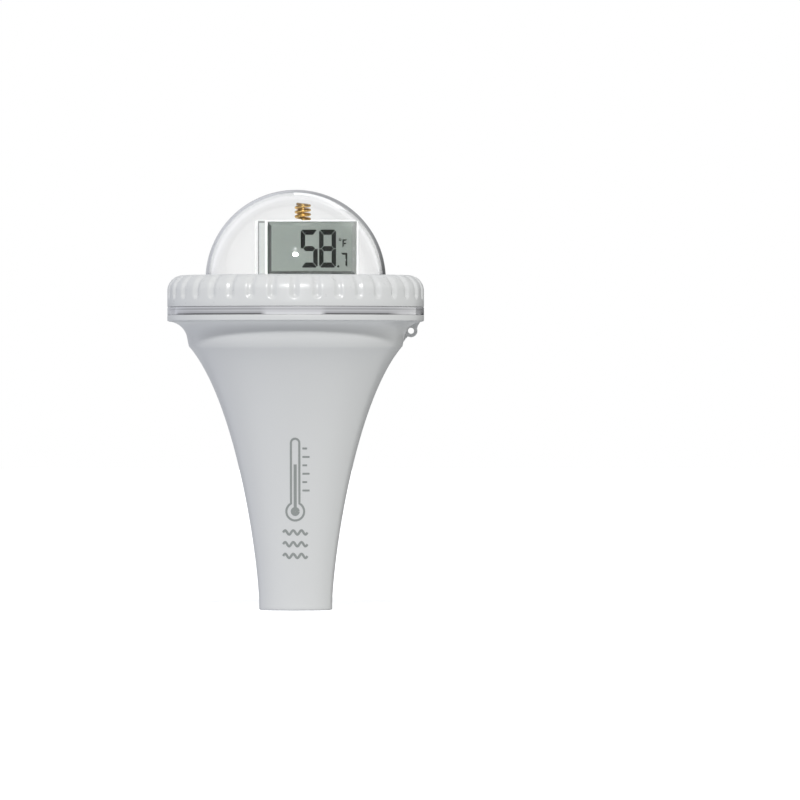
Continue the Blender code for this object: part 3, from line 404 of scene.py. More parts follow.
def rounded(corners, steps=5):
    """An outline whose corners are given as (x, y, fillet radius), each one turned into an arc."""
    points = []
    count = len(corners)
    for index, (x, y, radius) in enumerate(corners):
        here = Vector((x, y))
        if radius <= 0:
            points.append((x, y))
            continue
        before = (Vector(corners[index - 1][:2]) - here).normalized()
        after = (Vector(corners[(index + 1) % count][:2]) - here).normalized()
        half = before.angle(after) / 2
        centre = here + (before + after).normalized() * (radius / math.sin(half))
        start = here + before * (radius / math.tan(half)) - centre
        end = here + after * (radius / math.tan(half)) - centre
        sweep = start.angle_signed(end)
        for step in range(steps + 1):
            turn = -sweep * step / steps
            spot = Vector((start.x * math.cos(turn) - start.y * math.sin(turn),
                           start.x * math.sin(turn) + start.y * math.cos(turn)))
            points.append(tuple(centre + spot))
    return points


def rounded_rectangle(left, low, right, high, radius):
    return rounded([(*corner, radius) for corner in rectangle(left, low, right, high)])


def flare_point(t):
    """The point and unit tangent at t along the float's flared side."""
    ends = [Vector(end) for end in FLARE]
    weights = ((1 - t) ** 3, 3 * (1 - t) ** 2 * t, 3 * (1 - t) * t**2, t**3)
    point = sum((end * weight for end, weight in zip(ends, weights)), Vector((0, 0)))
    tangent = Vector((0, 0))
    for start, end, weight in zip(ends, ends[1:], ((1 - t) ** 2, 2 * (1 - t) * t, t**2)):
        tangent += (end - start) * weight
    return point, tangent.normalized()


def add_object(name, data):
    """Puts an object with this data into the scene."""
    made = bpy.data.objects.new(name, data)
    bpy.context.scene.collection.objects.link(made)
    return made


def mesh_of(name, shape):
    """Turns a bmesh in millimetres into a mesh in metres whose faces look outwards."""
    bmesh.ops.recalc_face_normals(shape, faces=shape.faces)
    mesh = bpy.data.meshes.new(name)
    shape.to_mesh(mesh)
    shape.free()
    for vertex in mesh.vertices:
        vertex.co *= MM
    return mesh


def finish_piece(name, shape, materials, body, stands_for=(), smooth_degrees=40):
    """Turns a bmesh into a piece that rides on a body and takes a material slot."""
    mesh = mesh_of(name, shape)
    for material in materials if isinstance(materials, (list, tuple)) else [materials]:
        mesh.materials.append(material)
    mesh.shade_smooth()
    mesh.set_sharp_from_angle(angle=math.radians(smooth_degrees))
    piece = add_object(name, mesh)
    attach(piece, body)
    if stands_for:
        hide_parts(*stands_for)
    return piece


def turned(profile, sides=ROUND_SIDES):
    """A bmesh of what a closed profile of (radius, height) points sweeps round Z."""
    shape = bmesh.new()
    angles = [2 * math.pi * side / sides for side in range(sides)]
    rings = []
    for radius, height in profile:
        around = angles if radius > 1e-6 else angles[:1]
        rings.append([shape.verts.new((radius * math.cos(angle), radius * math.sin(angle), height))
                      for angle in around])
    for ring, following in zip(rings, rings[1:] + rings[:1]):
        for side in range(sides):
            after = (side + 1) % sides
            corners = [ring[side % len(ring)], ring[after % len(ring)]]
            corners += [following[after % len(following)], following[side % len(following)]]
            corners = list(dict.fromkeys(corners))
            if len(corners) > 2:
                shape.faces.new(corners)
    return shape


def add_prism(shape, outline, low, high, along="Y"):
    """Adds an outline pushed from low to high: X and Z pairs pushed along Y, or X and Y pairs along Z."""
    def place(pair, depth):
        return (pair[0], depth, pair[1]) if along == "Y" else (pair[0], pair[1], depth)

    bottom = [shape.verts.new(place(pair, low)) for pair in outline]
    top = [shape.verts.new(place(pair, high)) for pair in outline]
    faces = [shape.faces.new(bottom), shape.faces.new(top)]
    for index in range(len(outline)):
        after = (index + 1) % len(outline)
        faces.append(shape.faces.new((bottom[index], bottom[after], top[after], top[index])))
    return faces


def prism(outline, low, high, along="Y"):
    """A bmesh of one outline pushed from low to high."""
    shape = bmesh.new()
    add_prism(shape, outline, low, high, along)
    return shape


def soften(piece, width, segments=3):
    """Rounds a piece's sharp edges."""
    bevel = piece.modifiers.new("soft_edges", "BEVEL")
    bevel.width = width * MM
    bevel.segments = segments
    bevel.limit_method = "ANGLE"
    bevel.angle_limit = math.radians(40)
    bevel.harden_normals = True


def combine(piece, shape, operation):
    """Joins a bmesh to a piece, or cuts it away."""
    other = add_object("helper", mesh_of("helper", shape))
    boolean = piece.modifiers.new("helper", "BOOLEAN")
    boolean.operation = operation
    boolean.object = other
    boolean.solver = "EXACT"
    bpy.context.view_layer.update()
    result = bpy.data.meshes.new_from_object(piece.evaluated_get(bpy.context.evaluated_depsgraph_get()))
    piece.modifiers.remove(boolean)
    piece.data = result
    bpy.data.objects.remove(other)


def cut(piece, outline, low, high, along="Y"):
    """Cuts an outline, pushed from low to high, out of a piece."""
    combine(piece, prism(outline, low, high, along), "DIFFERENCE")


def ridge(root, crest, start_angle):
    """A bmesh of one start of screw thread, swept up a right-hand helix."""
    sides = 96
    shape = bmesh.new()
    section = ((root, -0.65), (crest, -0.4), (crest, 0.4), (root, 0.65))
    stations = []
    for step in range(round(sides * THREAD_TURNS) + 1):
        turn = 2 * math.pi * step / sides
        angle = start_angle + turn
        height = THREAD_START + THREAD_LEAD * turn / (2 * math.pi)
        across, back = math.cos(angle), math.sin(angle)
        stations.append([shape.verts.new((radius * across, radius * back, height + offset))
                         for radius, offset in section])
    shape.faces.new(stations[0])
    shape.faces.new(stations[-1])
    for station, after in zip(stations, stations[1:]):
        for corner in range(4):
            following = (corner + 1) % 4
            shape.faces.new((station[corner], station[following], after[following], after[corner]))
    return shape


# --- Camera, light and floor ---

LENS = 500.0
SENSOR = 36.0
FRAME_WIDTH = 286.8  # what the picture spans at the float's axis
FLOAT_LEFT_OF_CENTRE = 37.4
CAMERA_HEIGHT = 75.3

AMBIENT_FRONT = 0.05
AMBIENT_BACK = 0.68
TABLE_GLOW = 0.84
GLOSS_FRONT = 0.12
GLOSS_BACK = 1.1
LEFT_CARD = 0.42
RIGHT_CARD = 0.8
TOP_SOFTBOX = 0.9
KEY = 2.5
SIDE_FILL = 0.52
COLLAR_STRIP = 7.0
FLOOR_GLOW = 0.54
FLOOR_RADIUS = 8000


def make_camera():
    """A long lens far in front of the display, level with the middle of the float."""
    data = bpy.data.cameras.new("camera")
    data.lens = LENS
    data.sensor_width = SENSOR
    data.clip_end = 20  # metres
    camera = add_object("camera", data)
    distance = LENS * FRAME_WIDTH / SENSOR
    camera.location = (FLOAT_LEFT_OF_CENTRE * MM, -distance * MM, CAMERA_HEIGHT * MM)
    camera.rotation_euler = (math.pi / 2, 0, 0)
    bpy.context.scene.camera = camera


def make_sun(name, strength, spread_degrees, azimuth, elevation):
    """A distant lamp. Azimuth 0 is in front of the display, and positive is to its right."""
    data = bpy.data.lights.new(name, "SUN")
    data.energy = strength
    data.angle = math.radians(spread_degrees)
    lamp = add_object(name, data)
    side, lift = math.radians(azimuth), math.radians(elevation)
    towards = Vector((math.sin(side) * math.cos(lift), -math.cos(side) * math.cos(lift), math.sin(lift)))
    lamp.rotation_euler = towards.to_track_quat("Z", "Y").to_euler()
    return lamp


def make_world():
    """A white studio: pure white where it is seen, and walls of soft light where it lights the float.

    The back gives more light than the front, the left is a little blue, and a pale table shines up.
    Gloss and clear plastic see a softbox high on the back wall, and a card that darkens it to the right.
    """
    world = bpy.data.worlds.new("studio")
    bpy.context.scene.world = world
    world.use_nodes = True
    # Every ray reads the wall by its own kind, so none is sampled ahead
    world.cycles.sampling_method = "NONE"
    tree = world.node_tree
    rays = tree.nodes.new("ShaderNodeLightPath")
    direction = tree.nodes.new("ShaderNodeSeparateXYZ")
    tree.links.new(tree.nodes.new("ShaderNodeTexCoord").outputs["Generated"], direction.inputs["Vector"])
    x, y, z = (direction.outputs[axis] for axis in "XYZ")
    tint = mixed_colour(tree, spread(tree, x, -0.8, 0.8), (0.93, 0.96, 1.06), (0.99, 1.0, 0.985))

    softbox = product_of(tree, within(tree, x, -0.02, 0.34), within(tree, z, 0.47, 0.62),
                         within(tree, y, 0.5, 1), TOP_SOFTBOX)
    card = product_of(tree, within(tree, y, 0.75, 1.01),
                      spread(tree, x, -0.12, 0.12, LEFT_CARD, RIGHT_CARD, "SMOOTHSTEP"),
                      spread(tree, z, -0.05, 0.25, 1.3, 0.75))
    wall = spread(tree, y, 0.2, 1, GLOSS_FRONT, GLOSS_BACK)
    gloss = math_of(tree, "ADD", math_of(tree, "SUBTRACT", wall, card), softbox)
    table = product_of(tree, math_of(tree, "MINIMUM", z, 0), -TABLE_GLOW)
    ambient = math_of(tree, "ADD", spread(tree, y, -1, 1, AMBIENT_FRONT, AMBIENT_BACK), table)
    strength = tree.nodes.new("ShaderNodeMix")
    not_diffuse = math_of(tree, "LESS_THAN", rays.outputs["Diffuse Depth"], 0.5)
    for name, socket in (("Factor", not_diffuse), ("A", ambient), ("B", gloss)):
        tree.links.new(socket, strength.inputs[name])

    lighting = tree.nodes.new("ShaderNodeBackground")
    tree.links.new(tint, lighting.inputs["Color"])
    tree.links.new(strength.outputs["Result"], lighting.inputs["Strength"])
    seen = tree.nodes.new("ShaderNodeBackground")
    seen.inputs["Color"].default_value = (1, 1, 1, 1)
    bounced = math_of(tree, "MAXIMUM", rays.outputs["Diffuse Depth"], rays.outputs["Glossy Depth"])
    either_shader(tree, bounced, seen.outputs["Background"], lighting.outputs["Background"],
                  tree.nodes["World Output"])


def make_floor():
    """A pale floor that the eye sees, and that throws no light back up at the object."""
    material, tree, shader = new_material("pale_floor")
    tree.links.new(mixed_colour(tree, noise(tree, 4), (0.90, 0.90, 0.90), (0.88, 0.88, 0.88)),
                   shader.inputs["Base Color"])
    set_inputs(shader, {"Roughness": 0.9, "Emission Color": (1, 1, 1, 1), "Emission Strength": FLOOR_GLOW})
    shape = bmesh.new()
    bmesh.ops.create_circle(shape, cap_ends=True, segments=64, radius=FLOOR_RADIUS)
    floor = add_object("floor", mesh_of("floor", shape))
    floor.data.materials.append(material)
    floor.visible_diffuse = False
    floor.visible_glossy = False


def make_collar_strip(collar):
    """An upright softbox in front, never seen itself, whose gloss is kept to the collar, as by a flag."""
    width, height, distance, centre_height = 0.14, 0.55, 1.0, 0.39  # metres
    data = bpy.data.lights.new("collar_strip", "AREA")
    data.shape = "RECTANGLE"
    data.size, data.size_y = width, height
    data.energy = COLLAR_STRIP * math.pi * width * height
    strip = add_object("collar_strip", data)
    strip.location = (0, -distance, centre_height)
    strip.rotation_euler = (math.pi / 2, 0, 0)
    strip.visible_camera = False
    strip.visible_diffuse = False
    lit = bpy.data.collections.new("collar_strip_pieces")
    lit.objects.link(collar)
    strip.light_linking.receiver_collection = lit


def light_studio(collar):
    """A high key light in front, a soft fill at each side, and the collar's strip."""
    make_sun("key", KEY, 5.5, 0, 32.3)
    for azimuth in (-80, 80):
        fill = make_sun("side_fill", SIDE_FILL, 30, azimuth, 28)
        fill.visible_glossy = False
        fill.visible_transmission = False
    make_collar_strip(collar)
    bpy.context.scene.view_settings.view_transform = "Standard"


# --- The float ---


def make_float_body():
    """The hollow trumpet shell, with the cove under its rim and the ledge and thread in its mouth."""
    outside = [(PROBE_HOLE, 0), (12.2, 0), (12.75, 0.12), (13.0, 0.35)]
    outside += [tuple(flare_point(step / 60)[0]) for step in range(61)]
    outside += arc(COVE_CENTRE, COVE_RADIUS, COVE_START, 94, 16)
    outside += rounded([(45.2, 103.42, 0), (RIM_RADIUS, RIM_LOW, 0.5), (RIM_RADIUS, BODY_HIGH.z, 0.15),
                        (45.0, BODY_HIGH.z, 0)])
    ledge_radius, ledge_throat, ledge, bore_low = 35.5, 33.9, 93.4, 97.0
    inside = [(SEAL_BORE + 0.6, BODY_HIGH.z), (SEAL_BORE, BODY_HIGH.z - 0.6), (SEAL_BORE, bore_low),
              (ledge_radius, bore_low), (ledge_radius, ledge), (ledge_throat, ledge)]
    wall_low, wall_high, floor_top = 3.0, 92.5, 2.5
    for step in range(36, 0, -1):
        point, tangent = flare_point(step / 38)
        radius, height = point.x - WALL * tangent.y, point.y + WALL * tangent.x
        if wall_low < height < wall_high:
            inside.append((radius, height))
    inside += [(11.0, floor_top), (PROBE_HOLE, floor_top)]
    piece = finish_piece("float_shell", turned(outside + inside), WHITE_SHELL, "float",
                         ["float_body"])
    combine(piece, ridge(SEAL_BORE + 0.5, 34.95, THREAD_ANGLE + math.pi), "UNION")


def make_eyelet():
    """The lanyard lug, blended up into the rim and down into the neck."""
    eye, hole, outer = (41.35, 100.1), 1.08, 2.3
    inner = 38.0
    outline = [(inner, 95.6), (38.9, 96.4), (39.5, 97.35)] + arc(eye, outer, -118, 20, 24)
    outline += [(43.75, 101.7), (44.15, 102.5), (44.9, 103.6), (inner, 103.9)]
    piece = finish_piece("eyelet_lug", prism(outline, -1.5, 1.5), WHITE_SHELL, "float")
    cut(piece, circle(eye, hole, 32), -3, 3)
    soften(piece, 0.35)


def make_clear_cover():
    """Dome, flange and threaded skirt as one clear moulding."""
    inner_radius = DOME_RADIUS - DOME_WALL
    groove_radius, groove_low, groove_high = 33.95, 102.55, 105.2
    outer = arc((0, DOME_CENTRE), DOME_RADIUS, 90, 0, 48)
    outer[0] = (0, COVER_HIGH.z)
    edge = rounded([(DOME_RADIUS, FLANGE_TOP + 1.5, 0), (DOME_RADIUS, FLANGE_TOP, 0.4),
                    (RIM_RADIUS, FLANGE_TOP, 0.3), (RIM_RADIUS, FLANGE_LOW, 0.12),
                    (SKIRT_RADIUS, FLANGE_LOW, 0), (SKIRT_RADIUS, groove_high, 0),
                    (groove_radius, groove_high, 0.2), (groove_radius, groove_low, 0.2),
                    (SKIRT_RADIUS, groove_low, 0), (SKIRT_RADIUS, COVER_LOW.z, 0.3),
                    (SKIRT_INNER, COVER_LOW.z, 0.3), (SKIRT_INNER, FLANGE_LOW - 1.7, 0.5),
                    (inner_radius, FLANGE_LOW, 0.5), (inner_radius, DOME_CENTRE - 2, 0)])
    inner = arc((0, DOME_CENTRE), inner_radius, 0, 90, 48)
    inner[-1] = (0, DOME_CENTRE + inner_radius)
    shape = turned(outer + edge + inner)
    # The flange's outer faces take the material with painted light and shade
    for face in shape.faces:
        centre = face.calc_center_median()
        if math.hypot(centre.x, centre.y) > SKIRT_RADIUS + 2 and centre.z > FLANGE_LOW - 0.1:
            face.material_index = 1
    piece = finish_piece("clear_cover", shape, [CLEAR, FLANGE], "cover",
                         ["clear_dome_cover"])
    combine(piece, ridge(SKIRT_RADIUS - 0.5, 35.5, THREAD_ANGLE), "UNION")


def flute_sink(height, offset):
    """How deep a flute is at a height and an offset along the rim. Its lower end is round."""
    below = max(0.0, FLUTE_LOW + FLUTE_HALF_WIDTH - height)
    reach = math.hypot(offset, below) / FLUTE_HALF_WIDTH
    return FLUTE_DEPTH * math.cos(math.pi / 2 * min(1.0, reach)) ** 1.5


def flute_columns():
    """The collar's columns, as angles and distances from a flute's middle, closest in a flute."""
    pitch = 2 * math.pi * RIM_RADIUS / FLUTES
    groove_steps, land_steps = 16, 5
    land = pitch - 2 * FLUTE_HALF_WIDTH
    offsets = [FLUTE_HALF_WIDTH * (2 * step / groove_steps - 1) for step in range(groove_steps)]
    offsets += [FLUTE_HALF_WIDTH + land * step / land_steps for step in range(land_steps)]
    return [((flute * pitch + offset) / RIM_RADIUS, offset) for flute in range(FLUTES) for offset in offsets]


def make_grip_collar():
    """The fluted ring, hollow underneath: every flute starts in a round end and runs over the top corner."""
    corner = (RIM_RADIUS - COLLAR_CORNER, COLLAR_HIGH.z - COLLAR_CORNER)
    outer = [(RIM_RADIUS - 0.25, COLLAR_LOW.z), (RIM_RADIUS - 0.07, COLLAR_LOW.z + 0.07),
             (RIM_RADIUS, COLLAR_LOW.z + 0.25)]
    side_steps = 22
    low = FLUTE_LOW - 0.2
    outer += [(RIM_RADIUS, low + (corner[1] - low) * step / side_steps) for step in range(side_steps)]
    outer += arc(corner, COLLAR_CORNER, 0, 90, 24)
    top = [(COLLAR_BORE + 0.35, COLLAR_HIGH.z), (COLLAR_BORE + 0.1, COLLAR_HIGH.z - 0.1),
           (COLLAR_BORE, COLLAR_HIGH.z - 0.35), (COLLAR_BORE, COLLAR_LOW.z)]
    wall, side_wall = 1.8, 2.65
    hollow = [(COLLAR_BORE + wall, COLLAR_LOW.z), (COLLAR_BORE + wall, COLLAR_HIGH.z - wall),
              (corner[0] - 1.0, COLLAR_HIGH.z - wall), (RIM_RADIUS - side_wall, corner[1]),
              (RIM_RADIUS - side_wall, COLLAR_LOW.z)]
    fade_start, fade_length = math.radians(50), math.radians(34)
    shape = bmesh.new()
    columns = flute_columns()
    rings = []
    for index, (radius, height) in enumerate(outer + top + hollow):
        lean, fade = 0.0, 0.0
        if index < len(outer):
            lean = math.atan2(max(0.0, height - corner[1]), max(1e-9, radius - corner[0]))
            fade = min(1.0, max(0.0, 1 - (lean - fade_start) / fade_length))
        ring = []
        for angle, offset in columns:
            sink = fade * flute_sink(height, offset) if abs(offset) < FLUTE_HALF_WIDTH else 0.0
            there = radius - sink * math.cos(lean)
            ring.append(shape.verts.new((there * math.cos(angle), there * math.sin(angle),
                                         height - sink * math.sin(lean))))
        rings.append(ring)
    for ring, following in zip(rings, rings[1:] + rings[:1]):
        for side in range(len(columns)):
            after = (side + 1) % len(columns)
            shape.faces.new((ring[side], ring[after], following[after], following[side]))
    return finish_piece("fluted_collar", shape, WHITE_COLLAR, "cover", ["grip_collar"], 50)


def make_o_ring():
    low, high = box_mm("cover_o_ring")
    radius = (high.z - low.z) / 2
    section = circle((high.x - radius, (low.z + high.z) / 2), radius, 24)
    finish_piece("cover_o_ring_fine", turned(section), SILICONE, "seal", ["cover_o_ring"])


# --- The generic mark on the float ---


def wrapped(points, proud):
    """Places flat (across, up) points on the float's front, proud of its surface."""
    placed = []
    for across, up in points:
        low, high = 0.0, 1.0
        for _ in range(30):
            middle = (low + high) / 2
            if flare_point(middle)[0].y < up:
                low = middle
            else:
                high = middle
        radius = flare_point(low)[0].x + proud
        angle = -math.pi / 2 + across / radius
        placed.append((radius * math.cos(angle), radius * math.sin(angle), up))
    return placed


def add_ribbon(shape, line, width):
    """Adds a printed line: a band of one width on the float's surface, and its lid at the ink's height."""
    left, right = [], []
    for index, point in enumerate(line):
        before = Vector(line[max(0, index - 1)])
        after = Vector(line[min(len(line) - 1, index + 1)])
        along = (after - before).normalized()
        side = Vector((-along.y, along.x)) * width / 2
        left.append(Vector(point) + side)
        right.append(Vector(point) - side)
    for proud in (0.0, INK_HEIGHT):
        rows = [[shape.verts.new(spot) for spot in wrapped(side, proud)] for side in (left, right)]
        for index in range(len(line) - 1):
            shape.faces.new((rows[0][index], rows[0][index + 1], rows[1][index + 1], rows[1][index]))


def make_printed_mark():
    """A plain pictogram in place of any lettering: a thermometer with its scale over three waves."""
    bulb, bulb_radius = (0.0, 35.5), 3.2
    stem_half, stem_low, stem_top = 1.5, 39, 60.0
    line = 0.75
    shape = bmesh.new()
    left = [(-stem_half, stem_top)] + [(-stem_half, 59 - step) for step in range(20)]
    right = [(stem_half, stem_low + step) for step in range(21)] + [(stem_half, stem_top)]
    add_ribbon(shape, left + arc(bulb, bulb_radius, 118, 422, 40) + right, line)
    add_ribbon(shape, arc((0, stem_top), stem_half, 180, 0, 12), line)
    add_ribbon(shape, [(0, bulb[1] + 0.8 * step) for step in range(22)], 1.1)
    add_ribbon(shape, arc(bulb, 0.85, 0, 360, 24), 1.5)
    scale_left, scale_low, scale_step = 2.6, 43, 3
    for mark in range(6):
        long = 2.6 if mark % 2 == 0 else 1.7
        up = scale_low + scale_step * mark
        add_ribbon(shape, [(scale_left + long * part, up) for part in (0, 0.5, 1)], 0.65)
    wave_height, wave_length, wave_left = 0.75, 14.7, -4.4
    for wave in range(3):
        up = 28.0 - 4.2 * wave
        crest = [(wave_left + 0.2 * step, up + wave_height * math.sin(2 * math.pi * step / wave_length))
                 for step in range(45)]
        add_ribbon(shape, crest, 0.85)
    finish_piece("printed_mark", shape, PRINT_GREY, "float")


# --- The display head ---


def make_housing():
    """The white frame round the display with its screw tabs and the rail's groove, whose front face is
    painted a darker white for shade.
    """
    low, high = box_mm("display_housing")
    left, right, half_depth, chamfer = -14.6, 22.3, 2.6, 0.5
    outline = [(left, low.z), (right, low.z), (right, high.z - chamfer), (right - chamfer, high.z),
               (left + chamfer, high.z), (left, high.z - chamfer)]
    shape = prism(outline, -half_depth, half_depth)
    piece = finish_piece("display_frame", shape, [MODULE_WHITE, MODULE_PAINTED_SHADE], "float",
                         ["display_housing"])
    tab_half, tab_corner, tab_height = 2.4, 2.2, 1.2
    tabs = rounded_rectangle(low.x, -tab_half, high.x, tab_half, tab_corner)
    combine(piece, prism(tabs, low.z, low.z + tab_height, "Z"), "UNION")
    margin = 0.25  # the gap round the glass
    glass_left, glass_low = LCD_LOW.x - margin, LCD_LOW.z - margin
    glass_right, glass_top = LCD_HIGH.x + margin, LCD_HIGH.z + margin
    lip, right_lip, top_lip = 1.8, 1.7, 0.9  # the lip behind the glass: its front, and how far it reaches in
    groove_low, groove_top, groove_back = 119.5, 141, -1.6
    cut(piece, rectangle(glass_left, glass_low, glass_right, glass_top), -5, lip)
    cut(piece, rectangle(glass_left, glass_low, glass_right - right_lip, glass_top - top_lip), 1, 5)
    cut(piece, rectangle(left - 1, groove_low, RAIL_GROOVE, groove_top), -5, groove_back)
    for side in (-1, 1):
        cut(piece, circle((side * DECK_SCREW, 0), SCREW_HOLE, 24), 116, 120, "Z")
    soften(piece, 0.15, 2)
    # Painted shade: the groove's front face beside the rail takes the darker white
    for face in piece.data.polygons:
        in_groove = face.center.x < RAIL_GROOVE * MM and face.center.y > (groove_back - 0.1) * MM
        if in_groove and face.normal.y < -0.9:
            face.material_index = 1


def make_rail():
    """The pale rail beside the display, with a strip of painted shade down its left side and across its top.
    """
    low, high = box_mm("side_rail")
    low.x -= 0.2  # it reads a little wider through the dome
    left_shade_width, top_shade_height, step_back = 0.4, 0.7, 0.1
    inner, under = low.x + left_shade_width, high.z - top_shade_height
    shape = bmesh.new()
    add_prism(shape, rectangle(inner, low.z, high.x, under), low.y, high.y)
    around = [(low.x, low.z), (inner, low.z), (inner, under), (high.x, under), (high.x, high.z),
              (low.x, high.z)]
    # Painted shade: the dark strip left of and above the rail, set back a little
    for face in add_prism(shape, around, low.y + step_back, high.y):
        face.material_index = 1
    finish_piece("pale_rail", shape, [RAIL_GREY, RAIL_PAINTED_SHADE], "float", ["side_rail"])


def make_lcd():
    """The glass and its sloping edges, painted dark with shade at the left and below and painted pale with
    light at right.
    """
    left_slope, right_slope, low_slope, top_slope, depth = 1.2, 1.35, 1.5, 1.4, 1.0
    low, high = LCD_LOW, LCD_HIGH
    front = rectangle(low.x + left_slope, low.z + low_slope, high.x - right_slope, high.z - top_slope)
    back = rectangle(low.x, low.z, high.x, high.z)
    shape = bmesh.new()
    corners = [[shape.verts.new((x, y, z)) for x, z in outline]
               for outline, y in ((front, low.y), (back, low.y + depth), (back, high.y))]
    shape.faces.new(corners[0])
    shape.faces.new(corners[2])
    for row, following in zip(corners, corners[1:]):
        for index in range(4):
            after = (index + 1) % 4
            face = shape.faces.new((row[index], row[after], following[after], following[index]))
            # Painted shade on the lower and left slopes, painted light on the right slope, the top slope
            # plain
            face.material_index = (1, 2, 0, 1)[index]
    piece = finish_piece("display_panel", shape, [LCD_FACE, LCD_PAINTED_SHADE, LCD_PAINTED_LIGHT], "float",
                         ["lcd_glass"], 20)
    soften(piece, 0.08, 2)


def segment_outlines(width, height, stroke, bar, gap, corner):
    """The seven strokes of a digit, as outlines from its lower left corner, by their usual letters."""
    middle = height / 2
    nick = gap * 0.7
    inner_left, inner_right = stroke + gap, width - stroke - gap
    lower_left = [(0, corner), (corner / 2 - nick, corner / 2 + nick), (stroke, bar + gap),
                  (stroke, middle - bar / 2 - gap), (stroke / 2, middle - gap), (0, middle - gap)]
    bottom = [(corner, 0), (width - corner, 0), (width - corner / 2 - nick, corner / 2 - nick),
              (inner_right, bar), (inner_left, bar), (corner / 2 + nick, corner / 2 - nick)]
    across = [(stroke / 2 + gap, middle), (inner_left, middle + bar / 2), (inner_right, middle + bar / 2),
              (width - stroke / 2 - gap, middle), (inner_right, middle - bar / 2),
              (inner_left, middle - bar / 2)]

    def flipped(outline, in_x, in_z):
        return [(width - x if in_x else x, height - z if in_z else z) for x, z in outline]

    return {"e": lower_left, "c": flipped(lower_left, True, False), "f": flipped(lower_left, False, True),
            "b": flipped(lower_left, True, True), "d": bottom, "a": flipped(bottom, False, True), "g": across}


# The characters: lit strokes, left, low, width, height, stroke, bar, gap and corner
CHARACTERS = (("afgcd", 1.85, 122.7, 6.05, 13.6, 1.6, 1.85, 0.09, 0.7),
              ("abcdefg", 8.42, 122.7, 6.05, 13.6, 1.6, 1.85, 0.09, 0.7),
              ("abc", 16.2, 122.9, 2.3, 5.1, 0.68, 0.7, 0.0, 0.2),
              ("aefg", 16.75, 129.9, 1.65, 2.9, 0.5, 0.5, 0.0, 0.05))
POINT, POINT_RADIUS = (15.25, 123.15), 0.42
DEGREE, DEGREE_OUTER, DEGREE_INNER, DEGREE_SIDES = (15.9, 132.7), 0.5, 0.18, 20


def make_reading():
    """The display's reading, 58.7, with a degree ring and the unit's letter, just proud of the glass."""
    shape = bmesh.new()
    for lit, left, low, *sizes in CHARACTERS:
        for letter, outline in segment_outlines(*sizes).items():
            if letter in lit:
                add_prism(shape, [(left + x, low + z) for x, z in outline], INK_FRONT, INK_BACK)
    add_prism(shape, circle(POINT, POINT_RADIUS, 16), INK_FRONT, INK_BACK)
    ring, hole = (arc(DEGREE, radius, 0, 360, DEGREE_SIDES) for radius in (DEGREE_OUTER, DEGREE_INNER))
    for index in range(DEGREE_SIDES):
        add_prism(shape, [ring[index], ring[index + 1], hole[index + 1], hole[index]], INK_FRONT, INK_BACK)
    bmesh.ops.remove_doubles(shape, verts=shape.verts, dist=0.001)
    finish_piece("display_reading", shape, LCD_INK, "float")


def make_antenna():
    """The gold aerial coil with its leg, as one smooth round wire."""
    low, high = box_mm("antenna_coil")
    wire, pitch, turns, radius = 0.54, 1.63, 3.65, 2.42
    cad_wire = 0.5
    coil_low = 139.95
    x, y = (low.x + high.x) / 2, high.y - radius - cad_wire
    curve = bpy.data.curves.new("aerial_coil", "CURVE")
    curve.dimensions = "3D"
    curve.bevel_depth = wire * MM
    curve.bevel_resolution = 5
    curve.use_fill_caps = True
    spline = curve.splines.new("POLY")
    points = [(x, y - radius, low.z + 0.02), (x, y - radius, coil_low - 0.4)]
    steps = 40
    for step in range(round(turns * steps) + 1):
        angle = -math.pi / 2 + 2 * math.pi * step / steps
        height = coil_low + pitch * step / steps
        points.append((x + radius * math.cos(angle), y + radius * math.sin(angle), height))
    spline.points.add(len(points) - 1)
    for target, point in zip(spline.points, points):
        target.co = (*(Vector(point) * MM), 1)
    spline.use_smooth = True
    curve.materials.append(GOLD)
    coil = add_object("aerial_coil", curve)
    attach(coil, "float")
    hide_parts("antenna_coil")


# --- Deck, back, keys and screws ---


def lay_back(shape, x, z):
    """Turns a shape made up the Z axis to point backwards, with its axis at x and z."""
    for vertex in shape.verts:
        across, down, out = vertex.co
        vertex.co = (x + across, out, z - down)


def make_deck():
    """The round white plate under the display."""
    low, high = box_mm("deck_plate")
    profile = [(0, low.z), (high.x - 0.2, low.z), (high.x, low.z + 0.2)]
    profile += arc((high.x - 0.5, high.z - 0.5), 0.5, 0, 90, 5) + [(0, high.z)]
    piece = finish_piece("deck_disc", turned(profile), MODULE_WHITE, "float",
                         ["deck_plate"])
    for side in (-1, 1):
        cut(piece, circle((side * DECK_SCREW, 0), SCREW_HOLE, 24), low.z - 1, high.z + 1, "Z")
    slot = rounded_rectangle(RIBBON_LEFT, RIBBON_FRONT, RIBBON_RIGHT, RIBBON_BACK, 0.4)
    cut(piece, slot, low.z - 1, high.z + 1, "Z")


